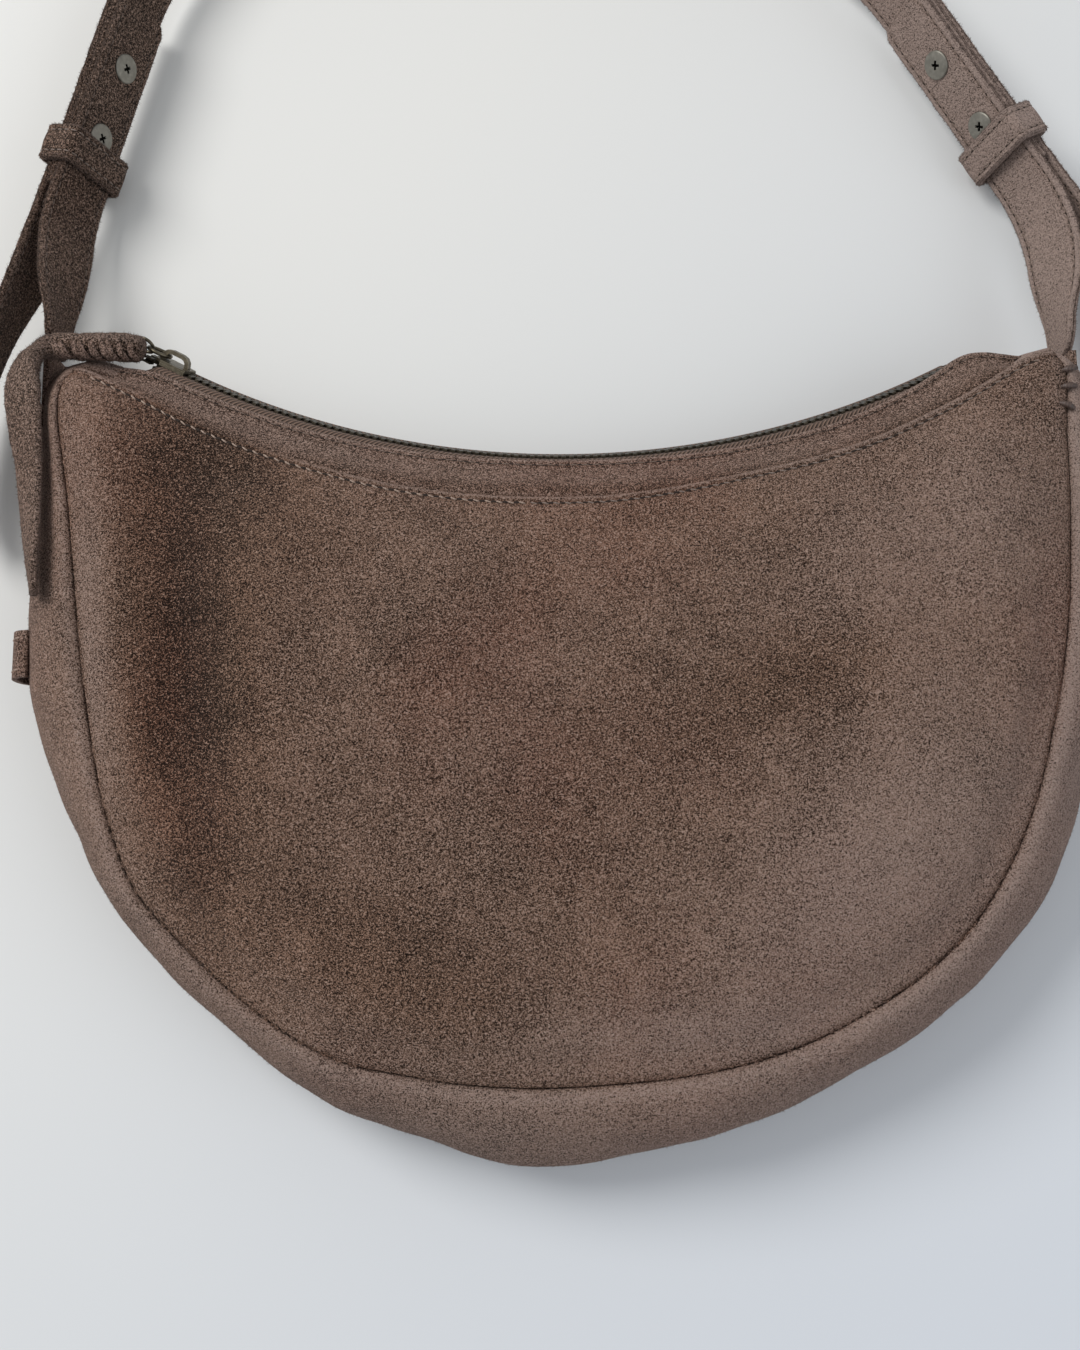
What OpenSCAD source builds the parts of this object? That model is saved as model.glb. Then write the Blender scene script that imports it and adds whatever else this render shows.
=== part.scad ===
/* [Bag body] */
// Width of the front panel from seam to seam
panel_w = 314; // [280:2:360]
// Drop of the front panel from its widest line to its lowest point
panel_drop = 158; // [140:1:180]
// Height of the top corners above the widest line
shoulder_h = 65; // [55:1:75]
// Thickness of the bag at its seams, table to front seam
bag_depth = 41; // [38:0.5:46]
// Rise of the stuffed front panel above its seam
crown_h = 12; // [4:0.5:24]
// Thickness of one layer of suede
suede_t = 1.8; // [1.2:0.1:2.4]
// How far the gusset bulges out past the front seam at the sides
side_bulge = 16; // [12:0.5:22]
// How far the gusset bulges out past the front seam at the bottom
foot_bulge = 24; // [14:0.5:30]
// How far the back seam lies outside the front seam at the sides
back_side = 8; // [2:0.5:12]
// How far the back seam lies outside the front seam at the bottom
back_foot = 14; // [4:0.5:18]
// Rounding of the top corners
corner_r = 9; // [6:0.5:12]
// Fullness of the half moon, 2 is an ellipse
moon_power = 2.3; // [2:0.05:2.8]

/* [Zip] */
// Radius of the curve that the zip follows
zip_r = 280; // [250:1:320]
// Height of the teeth above the widest line, at the middle of the zip
zip_mid_h = 38; // [34:0.5:44]
// Height of the teeth above the table
zip_z = 26; // [24:0.25:28]
// Lean of the teeth from flat towards upright, in degrees
zip_lean = 68; // [60:1:74]
// Distance of the band's ends from the sides of the front panel
band_in = 11; // [10:0.1:24]
// Distance of the closed slider's middle from the end of the band
closed_in = 13.1; // [12.6:0.1:24]
// Pitch of the teeth along one row
tooth_pitch = 2.54; // [2.2:0.01:3.2]
// Thickness of a tooth across the tape
tooth_t = 2.4; // [2:0.1:2.8]
// Reach of a tooth past the middle of the chain
tooth_nose = 1.15; // [0.9:0.05:1.3]
// Reach of a tooth's legs over the tape
tooth_leg = 4; // [3.4:0.1:4.4]
// Thickness of the woven tape
tape_t = 0.7; // [0.5:0.05:0.9]
// Gap between the middle of the chain and the edge of each tape
tape_gap = 1.9; // [1.6:0.05:2.2]
// Width of the tape that lies flat under the slider, each side
tape_flat = 6.4; // [6:0.1:7]

/* [Slider and pull] */
// Length of the slider along the zip
slider_l = 11.5; // [9:0.1:13]
// Thickness of the slider's plates
slider_plate = 0.9; // [0.7:0.05:1.2]
// Height of the slider's bridge above its plate
bridge_h = 3.8; // [3.2:0.1:5]
// Length of the slider's bridge
bridge_l = 10; // [9:0.1:10.6]
// Width of the slider's bridge
bridge_w = 2.4; // [1.8:0.1:2.6]
// Mean radius of the ring on the bridge
ring_r = 3.7; // [3.5:0.05:4]
// Thickness of the ring's wire
ring_wire = 1.3; // [1:0.05:1.5]
// Mean radius of the link in the pull tab
link_r = 3; // [2.6:0.05:3.6]
// Thickness of the link's wire
link_wire = 1.1; // [0.9:0.05:1.3]
// Width of the pull tab's tail
tab_w = 12; // [8:0.5:16]
// Thickness of the pull tab's tail
tab_t = 3; // [2:0.1:4]
// Thickness of the pull tab's rolled neck
neck_t = 7.6; // [5:0.1:8.4]

/* [Straps] */
// Width of the straps
strap_w = 22; // [18:0.5:24]
// Thickness of each strap, two layers sewn together
strap_t = 2.6; // [2:0.1:3.2]
// Distance from the middle of the bag to each strap root
root_x = 165; // [163:0.5:167]
// Height of the strap roots above the table
root_z = 23; // [20:0.5:25]
// Length of the left strap base before it bends
rise_left = 32; // [28:0.5:40]
// Length of the right strap base before it bends
rise_right = 24; // [20:0.5:34]
// Bend of the left strap towards the middle, in degrees
left_bend_angle = 16; // [10:1:24]
// Bend of the right strap towards the middle, in degrees
right_bend_angle = 32; // [24:1:38]
// Radius of that bend
bend_r = 60; // [50:1:80]
// Length of the straight run that carries the keeper and the screws
run_l = 71; // [68:0.5:80]
// Height of the straight run above the table
run_z = 17.5; // [17.25:0.25:20]
// Tilt of the straight run from flat, in degrees
run_tilt = 48; // [40:1:56]
// Reach of the arch's curve past each straight run
arch_reach = 108; // [90:1:130]
// Distance of the outer screw from the end of the strap base
screw_end = 22.5; // [16:0.5:26]
// Distance between the two screws of a pair
screw_pitch = 26.5; // [22:0.5:28]
// Distance of the keeper from the inner screw
keeper_gap = 8.7; // [8:0.1:9]

/* [Keepers and screws] */
// Length of a keeper along the strap
keeper_l = 12.5; // [10:0.5:14]
// Thickness of a keeper's wall
keeper_t = 2.4; // [1.8:0.1:3]
// Diameter of a screw's head
head_d = 9.7; // [8:0.1:11]
// Thickness of a screw's head
head_t = 1; // [0.8:0.05:1.3]
// Diameter of the post's barrel
barrel_d = 5; // [4.4:0.1:5.6]
// Diameter of the screw's shank
shank_d = 3.4; // [3:0.1:3.8]
// Width of a cross slot's arm
slot_w = 0.7; // [0.5:0.05:1]
// Length of a cross slot from tip to tip
slot_l = 2.6; // [2:0.1:3.4]

/* [Loop on the gusset] */
// Length of the loop along the gusset
loop_l = 15; // [12:0.5:18]
// How far the loop stands off the gusset
loop_out = 5.4; // [4.6:0.1:6]
// Span of the loop up the gusset
loop_span = 20; // [16:0.5:22]
// Height of the loop's middle above the table
loop_z = 18; // [16:0.5:20]

/* [Hidden] */
$fn = 64;
suede = [0.45, 0.37, 0.33];
suede_dark = [0.38, 0.30, 0.26];
tape_colour = [0.40, 0.34, 0.30];
old_brass = [0.42, 0.35, 0.22];
nickel = [0.66, 0.64, 0.58];

quarter = 90;
half_turn = 180;
function arc_degrees(length, r) = length / r * half_turn / PI;

// one overrun for every cut, and the gaps that pieces keep
over = 1;
fit = 0.15;
seat = 0.3;

// the plan of the bag, with y measured from the middle of the back panel
wide_y = 55;
corner_y = wide_y + shoulder_h;
zip_mid_y = wide_y + zip_mid_h;
zip_y = zip_mid_y + zip_r;

function lean_in(w, n) = [
  zip_r + w * cos(zip_lean) - n * sin(zip_lean),
  zip_z + w * sin(zip_lean) + n * cos(zip_lean)
];
function at_radius(p, a) = [p[0] * sin(a), zip_y - p[0] * cos(a), p[1]];

// the band's outer face, from the front seam down to the back panel
facing_in = 16.7;
tape_in = 4.8;
tape_rise = 8;
back_drop = 11.5;
back_in = 6.5;
front_seam_r = zip_r + facing_in;
front_seam = [front_seam_r - suede_t, bag_depth + suede_t];
front_fold = [zip_r + tape_in, zip_z + tape_rise];
front_bend = lean_in(tape_flat, 0);
back_bend = lean_in(-tape_flat, 0);
back_fold = [zip_r, zip_z - back_drop];
back_seam = [zip_r + back_in, suede_t];
half_w = panel_w / 2;
band_angle = asin((half_w - band_in) / front_seam_r);
closed_angle = band_angle - arc_degrees(closed_in, zip_r);
tape_under = 4;

function reversed(p) = [for (i = [len(p) - 1 : -1 : 0]) p[i]];

// a strip of one thickness behind a line of points
function unit2(v) = v / norm(v);
function turn2(v) = [-v[1], v[0]];
function way2(p, i) = unit2(p[min(i + 1, len(p) - 1)] - p[max(i - 1, 0)]);
function strip(p, t) = concat(
  p,
  [for (i = [len(p) - 1 : -1 : 0]) p[i] + turn2(way2(p, i)) * t]
);

// outlines of the half moon at one level of the bag
moon_steps = 12;
corner_steps = 3;
arc_steps = 6;
function moon(a, b, t) = [
  a * pow(abs(cos(t)), 2 / moon_power) * sign(cos(t)),
  wide_y - b * pow(abs(sin(t)), 2 / moon_power)
];
corner_open_share = 1 / 3;
function corner_turn_at(level) = quarter * (1 - level * corner_open_share);
function wall_half(a, b, top_r, top_y, turn) = concat(
  [for (i = [moon_steps : -1 : 1]) moon(a, b, quarter * i / moon_steps)],
  [[a, wide_y], [a, top_y - corner_r]],
  [for (i = [1 : corner_steps])
    let (t = turn * i / corner_steps)
      [a - corner_r + corner_r * cos(t), top_y - corner_r + corner_r * sin(t)]],
  [[top_r * sin(band_angle), zip_y - top_r * cos(band_angle)]]
);
function flip(p) = [for (i = [len(p) - 1 : -1 : 0]) [-p[i][0], p[i][1]]];
function wall_line(a, b, top_r, top_y, turn) =
  let (half = wall_half(a, b, top_r, top_y, turn))
    concat(flip(half), [for (i = [1 : len(half) - 1]) half[i]]);
function band_arc(top_r) = [
  for (i = [1 : 2 * arc_steps - 1])
    let (t = band_angle * (1 - i / arc_steps))
      [top_r * sin(t), zip_y - top_r * cos(t)]
];
function outline(a, b, top_r, top_y, turn) =
  concat(wall_line(a, b, top_r, top_y, turn), band_arc(top_r));

// levels of the gusset from the back seam to the front seam: [height share,
// share of the way out from the front seam to the full bulge]
level_shares = [[0, 0.5], [0.13, 0.86], [0.42, 1], [0.72, 0.9], [0.9, 0.55], [1, 0]];
gusset_z = bag_depth - suede_t;
function level_z(s) = suede_t + gusset_z * s;
function level_side(s, k) = half_w + (s == 0 ? back_side : side_bulge * k);
function level_foot(s, k) = panel_drop + (s == 0 ? back_foot : foot_bulge * k);
band_rz = [back_seam, back_fold, back_bend, front_bend, front_fold, front_seam];
function band_r_at(z) =
  let (p = band_rz,
       i = max([for (j = [0 : len(p) - 2]) p[j][1] <= z ? j : 0]),
       k = min(1, (z - p[i][1]) / (p[i + 1][1] - p[i][1])))
    p[i][0] + (p[i + 1][0] - p[i][0]) * k;
corner_lift = 7;
foot_share = 0.1;
function top_y_at(s) = corner_y + corner_lift * sin(half_turn * min(s + foot_share, 1));

// a closed skin over a list of equal rings, with flat ends, whichever way they turn
module loft(rings) {
  m = len(rings[0]);
  n = len(rings);
  points = [for (r = rings) for (p = r) p];
  sides = [
    for (i = [0 : n - 2]) for (j = [0 : m - 1])
      let (a = i * m + j, b = i * m + (j + 1) % m)
        [[a, b, a + m], [b, b + m, a + m]]
  ];
  ends = [
    [for (j = [m - 1 : -1 : 0]) j],
    [for (j = [0 : m - 1]) (n - 1) * m + j]
  ];
  skin = concat([for (s = sides) for (f = s) f], ends);
  // faces that look outward give a negative sum
  swell = [
    for (f = skin) for (j = [1 : len(f) - 2])
      points[f[0]] * cross(points[f[j]], points[f[j + 1]])
  ];
  outward = [for (v = swell) 1] * swell < 0;
  polyhedron(points, outward ? skin : [for (f = skin) reversed(f)]);
}

// rings of the stuffed panel, from its seam in to a level patch in the middle
dome_shares = [1, 0.955, 0.86, 0.68, 0.46, 0.23];
dome_shares_last = len(dome_shares) - 1;
patch_width_share = 0.7;
patch_drop_share = 0.58;

module front_panel() {
  rim = outline(half_w, panel_drop, front_seam_r, corner_y, corner_turn_at(1));
  patch_y = zip_mid_y - panel_drop * patch_drop_share;
  patch_share = dome_shares[dome_shares_last];
  function down(s) = max(0, min(1, (s - patch_share) / (dome_shares[1] - patch_share)));
  function toward_patch(p, s) =
    let (aim = [p[0] * patch_width_share, patch_y])
      aim + (p - aim) * s;
  function ring(s, z) = [
    for (p = rim) concat(toward_patch(p, s), z + crown_h * (1 - pow(down(s), 2)))
  ];
  color(suede)
    loft(concat(
      [for (s = reversed(dome_shares)) ring(s, bag_depth + suede_t)],
      [for (s = dome_shares) ring(s, bag_depth)]
    ));
}

module back_panel() {
  color(suede)
    linear_extrude(suede_t)
      polygon(outline(half_w + back_side, panel_drop + back_foot, back_seam[0], corner_y,
                      corner_turn_at(0)));
}

module gusset() {
  outer = [
    for (l = level_shares)
      [for (p = wall_line(level_side(l[0], l[1]), level_foot(l[0], l[1]),
                          band_r_at(level_z(l[0])), top_y_at(l[0]),
                          corner_turn_at(l[0])))
        concat(p, level_z(l[0]))]
  ];
  inner = [
    for (l = level_shares)
      [for (p = wall_line(level_side(l[0], l[1]) - suede_t, level_foot(l[0], l[1]) - suede_t,
                          band_r_at(level_z(l[0])) + suede_t, top_y_at(l[0]) - suede_t,
                          corner_turn_at(l[0])))
        concat(p, level_z(l[0]))]
  ];
  n = len(level_shares);
  rings = [
    for (j = [0 : len(outer[0]) - 1])
      concat([for (i = [0 : n - 1]) outer[i][j]], [for (i = [n - 1 : -1 : 0]) inner[i][j]])
  ];
  color(suede_dark)
    difference() {
      loft(rings);
      for (side = [-1, 1])
        translate([side * root_x, corner_y, root_z])
          cube([strap_t + 2 * fit, 4 * corner_r, strap_w + 2 * fit], center = true);
    }
}

module band(profile, from, to) {
  rotate([0, 0, from - quarter])
    rotate_extrude(angle = to - from, $fn = 180)
      polygon(profile);
}

module placed_band(profile, half) {
  translate([0, zip_y, 0])
    band(profile, -half, half);
}

facing_half = band_angle - arc_degrees(seat, zip_r);
function toward(a, b, d) = a + unit2(b - a) * d;
under_front = turn2(unit2(front_fold - front_seam)) * (suede_t + seat);
under_back = turn2(unit2(back_seam - back_fold)) * (suede_t + seat);
tape_front_line = [
  lean_in(tape_gap, tape_t / 2),
  lean_in(tape_flat, tape_t / 2),
  front_fold + under_front,
  toward(front_fold, front_seam, tape_under) + under_front
];
facing_front_line = [front_fold, front_seam];
tape_back_line = [
  toward(back_fold, back_seam, tape_under) + under_back,
  back_fold + under_back,
  lean_in(-tape_flat, tape_t / 2),
  lean_in(-tape_gap, tape_t / 2)
];
facing_back_line = [back_seam + [0, seat], back_fold];

module zip_facing_front() {
  color(suede)
    placed_band(strip(reversed(facing_front_line), suede_t), facing_half);
}

module zip_facing_back() {
  color(suede)
    placed_band(strip(reversed(facing_back_line), suede_t), facing_half);
}

module zip_tape_front() {
  color(tape_colour)
    placed_band(strip(reversed(tape_front_line), tape_t), facing_half);
}

module zip_tape_back() {
  color(tape_colour)
    placed_band(strip(reversed(tape_back_line), tape_t), facing_half);
}

// the chain's own frame: x towards the closed end, y towards the front, z out of the bag
module on_zip(angle) {
  translate([0, zip_y, 0])
    rotate([0, 0, angle])
      translate([0, -zip_r, zip_z])
        rotate([-zip_lean, 0, 0])
          rotate([0, 0, half_turn])
            children();
}

tooth_angle = arc_degrees(tooth_pitch, zip_r);
chain_from = -closed_angle + tooth_angle;
stop_angle = closed_angle + arc_degrees(slider_l / 2 + seat, zip_r);
chain_teeth = floor((stop_angle - chain_from) / tooth_angle);
tooth_gap = 0.06;
tooth_w = tooth_pitch / 2 - 2 * tooth_gap;
tooth_neck = 0.35;

// side view of one tooth: a nose, a shoulder and two legs round the tape
module tooth() {
  slot = tape_t / 2 + tooth_gap;
  half = tooth_t / 2;
  translate([tooth_w / 2, 0, 0])
    rotate([0, -quarter, 0])
      linear_extrude(tooth_w)
        polygon([
          [-half + tooth_neck, -tooth_nose], [half - tooth_neck, -tooth_nose],
          [half, -tooth_nose + tooth_neck], [half, tooth_leg - tooth_neck],
          [half - tooth_neck, tooth_leg], [slot, tooth_leg],
          [slot, tape_gap - tooth_gap], [-slot, tape_gap - tooth_gap],
          [-slot, tooth_leg], [-half + tooth_neck, tooth_leg],
          [-half, tooth_leg - tooth_neck], [-half, -tooth_nose + tooth_neck]
        ]);
}

module zip_teeth_front() {
  color(old_brass)
    for (i = [0 : chain_teeth - 1])
      on_zip(chain_from + i * tooth_angle)
        tooth();
}

module zip_teeth_back() {
  color(old_brass)
    for (i = [0 : chain_teeth - 2])
      on_zip(chain_from + (i + 0.5) * tooth_angle)
        mirror([0, 1, 0])
          tooth();
}

stop_l = 3;
stop_t = 2;

module stop_half() {
  slot = tape_t / 2 + fit;
  difference() {
    translate([0, (tape_gap + tooth_leg) / 2, 0])
      cube([stop_l, tooth_leg - tape_gap + tooth_nose, stop_t], center = true);
    translate([0, tape_gap + tooth_leg, 0])
      cube([stop_l + over, 2 * tooth_leg, 2 * slot], center = true);
  }
}

module zip_top_stops() {
  color(old_brass)
    on_zip(-stop_angle - arc_degrees(stop_l / 2, zip_r))
      for (side = [0, 1])
        mirror([0, side, 0])
          stop_half();
}

module zip_bottom_stop() {
  slot = tape_t / 2 + tooth_gap;
  color(old_brass)
    on_zip(stop_angle + arc_degrees(stop_l / 2, zip_r))
      difference() {
        cube([stop_l, 2 * tooth_leg, stop_t], center = true);
        for (side = [-1, 1])
          translate([0, side * (tape_gap - tooth_gap + tooth_leg), 0])
            cube([stop_l + over, 2 * tooth_leg, 2 * slot], center = true);
      }
}

// the slider: two shield-shaped plates, side lips, a wedge and a bridge
lip_in = tooth_leg + 2 * fit;
lip_t = 0.9;
slider_half = lip_in + lip_t + fit;
mouth = tooth_t / 2 + fit;
slider_top = mouth + slider_plate;
brow_share = 0.78;
nose_share = 0.42;
wedge_half = tape_gap - 2 * fit;
wedge_l = 4.6;
bridge_wall = 1.4;
bridge_round_share = 0.75;
window_h = bridge_h - bridge_wall;
window_l = bridge_l - 2 * bridge_wall;

module shield(t) {
  linear_extrude(t)
    polygon([
      [slider_l / 2, slider_half * nose_share], [slider_l / 2 - lip_t, slider_half * brow_share],
      [slider_l / 4, slider_half], [-slider_l / 4, lip_in + lip_t],
      [-slider_l / 2, lip_in + lip_t / 2], [-slider_l / 2, -lip_in - lip_t / 2],
      [-slider_l / 4, -lip_in - lip_t], [slider_l / 4, -slider_half],
      [slider_l / 2 - lip_t, -slider_half * brow_share], [slider_l / 2, -slider_half * nose_share]
    ]);
}

module lip(from, h) {
  for (side = [-1, 1])
    translate([-slider_l / 2, side > 0 ? lip_in : -lip_in - lip_t, from])
      cube([slider_l * 3 / 4, lip_t, h]);
}

module slider_body() {
  lip_h = mouth - tape_t / 2 - fit;
  color(old_brass)
    on_zip(-closed_angle) {
      translate([0, 0, mouth])
        shield(slider_plate);
      translate([0, 0, -slider_top])
        shield(slider_plate);
      lip(mouth - lip_h, lip_h + slider_plate / 2);
      lip(-mouth - slider_plate / 2, lip_h + slider_plate / 2);
      translate([0, 0, -mouth - slider_plate / 2])
        linear_extrude(2 * mouth + slider_plate)
          polygon([
            [slider_l / 2 - lip_t / 2, wedge_half * nose_share],
            [slider_l / 4, wedge_half], [slider_l / 2 - wedge_l, 0],
            [slider_l / 4, -wedge_half],
            [slider_l / 2 - lip_t / 2, -wedge_half * nose_share]
          ]);
      difference() {
        bridge_block(bridge_l, bridge_h + slider_plate / 2, bridge_w, slider_top - slider_plate / 2);
        bridge_block(window_l, window_h, bridge_w + 2 * over, slider_top);
      }
    }
}

// the bridge from the side: a low box over the plate, with rounded shoulders
module bridge_block(l, h, w, from) {
  r = h * bridge_round_share;
  translate([0, w / 2, from])
    rotate([quarter, 0, 0])
      linear_extrude(w)
        polygon(concat(
          [[-l / 2, 0], [l / 2, 0]],
          [for (i = [0 : corner_steps]) let (t = quarter * i / corner_steps)
            [l / 2 - r + r * cos(t), h - r + r * sin(t)]],
          [for (i = [0 : corner_steps]) let (t = quarter + quarter * i / corner_steps)
            [-l / 2 + r + r * cos(t), h - r + r * sin(t)]]
        ));
}

module torus(r, wire) {
  rotate_extrude($fn = 48)
    translate([r, 0])
      circle(d = wire, $fn = 24);
}

// the ring hangs in the closed end of the bridge's window
hold_x = (window_l - window_h) / 2;
hold_n = slider_top + window_h / 2;
link_turn_angle = 45;
link_from = 2 * ring_r - ring_wire / 2 - link_wire / 2 - fit + link_r;

module on_ring() {
  on_zip(-closed_angle)
    translate([hold_x, 0, hold_n])
      children();
}

module pull_ring() {
  color(old_brass)
    on_ring()
      translate([ring_r, 0, 0])
        torus(ring_r, ring_wire);
}

module pull_link() {
  color(old_brass)
    on_ring()
      translate([link_from, 0, 0])
        rotate([link_turn_angle, 0, 0])
          torus(link_r, link_wire);
}

// the pull tab: a rolled neck over the strap root, then a flat tail down the side
function zip_point(a, back, w, n) =
  let (p = lean_in(w, n), q = at_radius(p, a))
    q - back * [cos(a), sin(a), 0];
tab_from = link_from + link_r + link_wire / 2 + seat;
tab_start = zip_point(-closed_angle, hold_x + tab_from, 0, hold_n);
tab_neck_y = corner_y + corner_lift - seat;
gusset_side = half_w + side_bulge;
neck_over = root_z + strap_w / 2 + neck_t / 2 + seat;
neck_share = 0.75;
neck_flat_share = 0.86;
// the tail: [in from the gusset's side, down from the neck, below the neck, width] as shares
// of the tail's width, then a share of its thickness
tab_shares = [
  [0.375, 0.35, -0.04, 0.9, 1.4], [0.21, 1.08, 0.01, 1, 1], [0.27, 2.33, 0.06, 1, 1],
  [0.33, 3.83, 0.09, 1, 1], [0.28, 5.33, 0.14, 0.9, 1], [0.14, 6.67, 0.3, 0.8, 1]
];
// at the same places, the tilt of the width up from flat, and the heading in plan
tab_angles = [[50, 45], [36, 78], [36, 89], [47, 91], [56, 91], [70, 92]];
roll_angles = [[quarter, -closed_angle], [88, 0], [80, 12]];

module pull_tab() {
  start_r = neck_t * neck_share / 2;
  roll_r = neck_t / 2;
  roll = [
    tab_ring(tab_start, start_r, start_r, roll_angles[0]),
    tab_ring([strap_w / 2 - root_x, tab_neck_y, neck_over], roll_r, roll_r, roll_angles[1]),
    tab_ring([strap_t / 2 - root_x, tab_neck_y, neck_over + roll_r / neck_flat_share - roll_r],
             roll_r / neck_flat_share, roll_r * neck_flat_share, roll_angles[2])
  ];
  tail = [
    for (i = [0 : len(tab_shares) - 1])
      let (k = tab_shares[i],
           c = [k[0] * tab_w - gusset_side, tab_neck_y - k[1] * tab_w, neck_over - k[2] * tab_w])
        tab_ring(c, k[3] * tab_w / 2, k[4] * tab_t / 2, tab_angles[i])
  ];
  color(suede)
    loft(concat(roll, tail));
}

// a ring of points round c, turned by [tilt of its width, heading]
tab_sides = 12;
function tab_ring(c, w, t, turn) =
  let (tilt = turn[0], heading = turn[1],
       ahead = [-cos(heading), -sin(heading), 0],
       flat = [sin(heading), -cos(heading), 0],
       across = flat * cos(tilt) + [0, 0, 1] * sin(tilt),
       out = cross(ahead, across))
    [for (i = [0 : tab_sides - 1])
      let (a = 360 * (i + 0.5) / tab_sides)
        c + across * w * cos(a) + out * t * sin(a)];

loop_y = 29;
function moon_x(a, b, y) = a * pow(1 - pow((wide_y - y) / b, moon_power), 1 / moon_power);
function level_at(z) =
  let (s = (z - suede_t) / gusset_z,
       i = max([for (j = [0 : len(level_shares) - 2]) level_shares[j][0] <= s ? j : 0]),
       a = level_shares[i], b = level_shares[i + 1],
       k = (s - a[0]) / (b[0] - a[0]))
    a[1] + (b[1] - a[1]) * k;
function gusset_x(z) = moon_x(half_w + side_bulge * level_at(z), panel_drop + foot_bulge, loop_y);

module side_loop() {
  half = loop_span / 2;
  side_x = gusset_x(loop_z) + seat;
  foot_low = side_x - gusset_x(loop_z - half) - seat - suede_t / 2;
  foot_high = side_x - gusset_x(loop_z + half) - seat - suede_t / 2;
  color(suede_dark)
    translate([-side_x, loop_y - loop_l / 2, loop_z])
      rotate([quarter, 0, 0])
        mirror([0, 0, 1])
          linear_extrude(loop_l)
            polygon(strip([
              [foot_high, half], [-loop_out * loop_shares[0], half * loop_shares[1]],
              [-loop_out, half * loop_shares[2]], [-loop_out, -half * loop_shares[2]],
              [-loop_out * loop_shares[0], -half * loop_shares[1]], [foot_low, -half]
            ], suede_t));
}
loop_shares = [0.7, 0.88, 0.5];

// the straps, worked out on one side: u away from the middle, v up the bag
hinge_y = corner_y + corner_lift + seat + strap_w / 2 + seat;
function rise_of(side) = side < 0 ? rise_left : rise_right;
function bend_of(side) = side < 0 ? left_bend_angle : right_bend_angle;
function arc_len(side) = bend_r * bend_of(side) * PI / half_turn;
function run_start(side) = rise_of(side) + arc_len(side);
function plan_turn(side, s) =
  max(0, min(bend_of(side), arc_degrees(s - rise_of(side), bend_r)));
function plan_at(side, s) =
  let (a = plan_turn(side, s),
       straight = max(0, s - run_start(side)),
       up = min(s, rise_of(side)))
    [side * (root_x - bend_r * (1 - cos(a)) - straight * sin(a)),
     hinge_y + up + bend_r * sin(a) + straight * cos(a)];
function eased(x) = x <= 0 ? 0 : x >= 1 ? 1 : x * x * (3 - 2 * x);
function tilt_at(side, s) =
  quarter - (quarter - run_tilt) * eased(s / (run_start(side) * twist_share));
function lift_at(side, s) = root_z + (run_z - root_z) * eased(s / run_start(side));
twist_share = 0.9;

// frame of a strap: [place, along, across, out of the inner face]
function strap_frame(side, s) =
  let (p = plan_at(side, s), a = plan_turn(side, s), tilt = tilt_at(side, s),
       along = [-side * sin(a), cos(a), 0],
       inward = [-side * cos(a), -sin(a), 0],
       across = -inward * cos(tilt) + [0, 0, 1] * sin(tilt),
       out = inward * sin(tilt) + [0, 0, 1] * cos(tilt))
    [concat(p, lift_at(side, s)), along, across, out];
function strap_ring(f, w, top, t) = [
  f[0] + f[2] * w / 2 + f[3] * top,
  f[0] - f[2] * w / 2 + f[3] * top,
  f[0] - f[2] * w / 2 + f[3] * (top - t),
  f[0] + f[2] * w / 2 + f[3] * (top - t)
];

// places children in the frame of the straight run: x along, y across, z out
module on_run(side, s) {
  f = strap_frame(side, s);
  x = f[1];
  y = cross(f[3], f[1]);
  z = f[3];
  multmatrix([
    [x[0], y[0], z[0], f[0][0]],
    [x[1], y[1], z[1], f[0][1]],
    [x[2], y[2], z[2], f[0][2]],
    [0, 0, 0, 1]
  ])
    children();
}

face_top = strap_t / 2;
layer_1 = face_top;
layer_2 = layer_1 - strap_t;
layer_3 = layer_2 - strap_t;
layer_bottom = layer_3 - strap_t;
base_steps = 10;
function base_end(side) = run_start(side) + run_l;
function screw_out(side) = base_end(side) - screw_end;
function screw_in(side) = screw_out(side) - screw_pitch;
function keeper_at(side) = screw_in(side) - keeper_gap;
bore_d = barrel_d + 2 * fit;

module screw_bores(side) {
  for (s = [screw_in(side), screw_out(side)])
    on_run(side, s)
      translate([0, 0, layer_bottom - over])
        cylinder(d = bore_d, h = 3 * strap_t + 2 * over);
}

// the flat length of a strap on the straight run
module run_plate(side, from, to, top) {
  on_run(side, run_start(side))
    translate([from, -strap_w / 2, top - strap_t])
      cube([to - from, strap_w, strap_t]);
}

module strap_base(side) {
  color(suede)
    difference() {
      union() {
        loft([for (i = [0 : base_steps])
          strap_ring(strap_frame(side, run_start(side) * i / base_steps), strap_w, layer_1, strap_t)]);
        run_plate(side, 0, run_l, layer_1);
        translate([side * root_x, hinge_y, root_z])
          rotate([0, quarter, 0])
            cylinder(d = strap_w, h = strap_t, center = true);
      }
      screw_bores(side);
    }
}

module strap_root(side) {
  inside = 3 * corner_r;
  color(suede_dark)
    difference() {
      translate([side * root_x - strap_t / 2, hinge_y - strap_w / 2 - inside, root_z - strap_w / 2])
        cube([strap_t, inside + strap_w / 2, strap_w]);
      translate([side * root_x, hinge_y, root_z])
        rotate([0, quarter, 0])
          cylinder(d = strap_w + 2 * seat, h = strap_t + 2 * over, center = true);
      translate([side * root_x - strap_t, hinge_y - strap_w / 2 - seat, root_z])
        cube([2 * strap_t, strap_w, strap_w]);
    }
}

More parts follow.
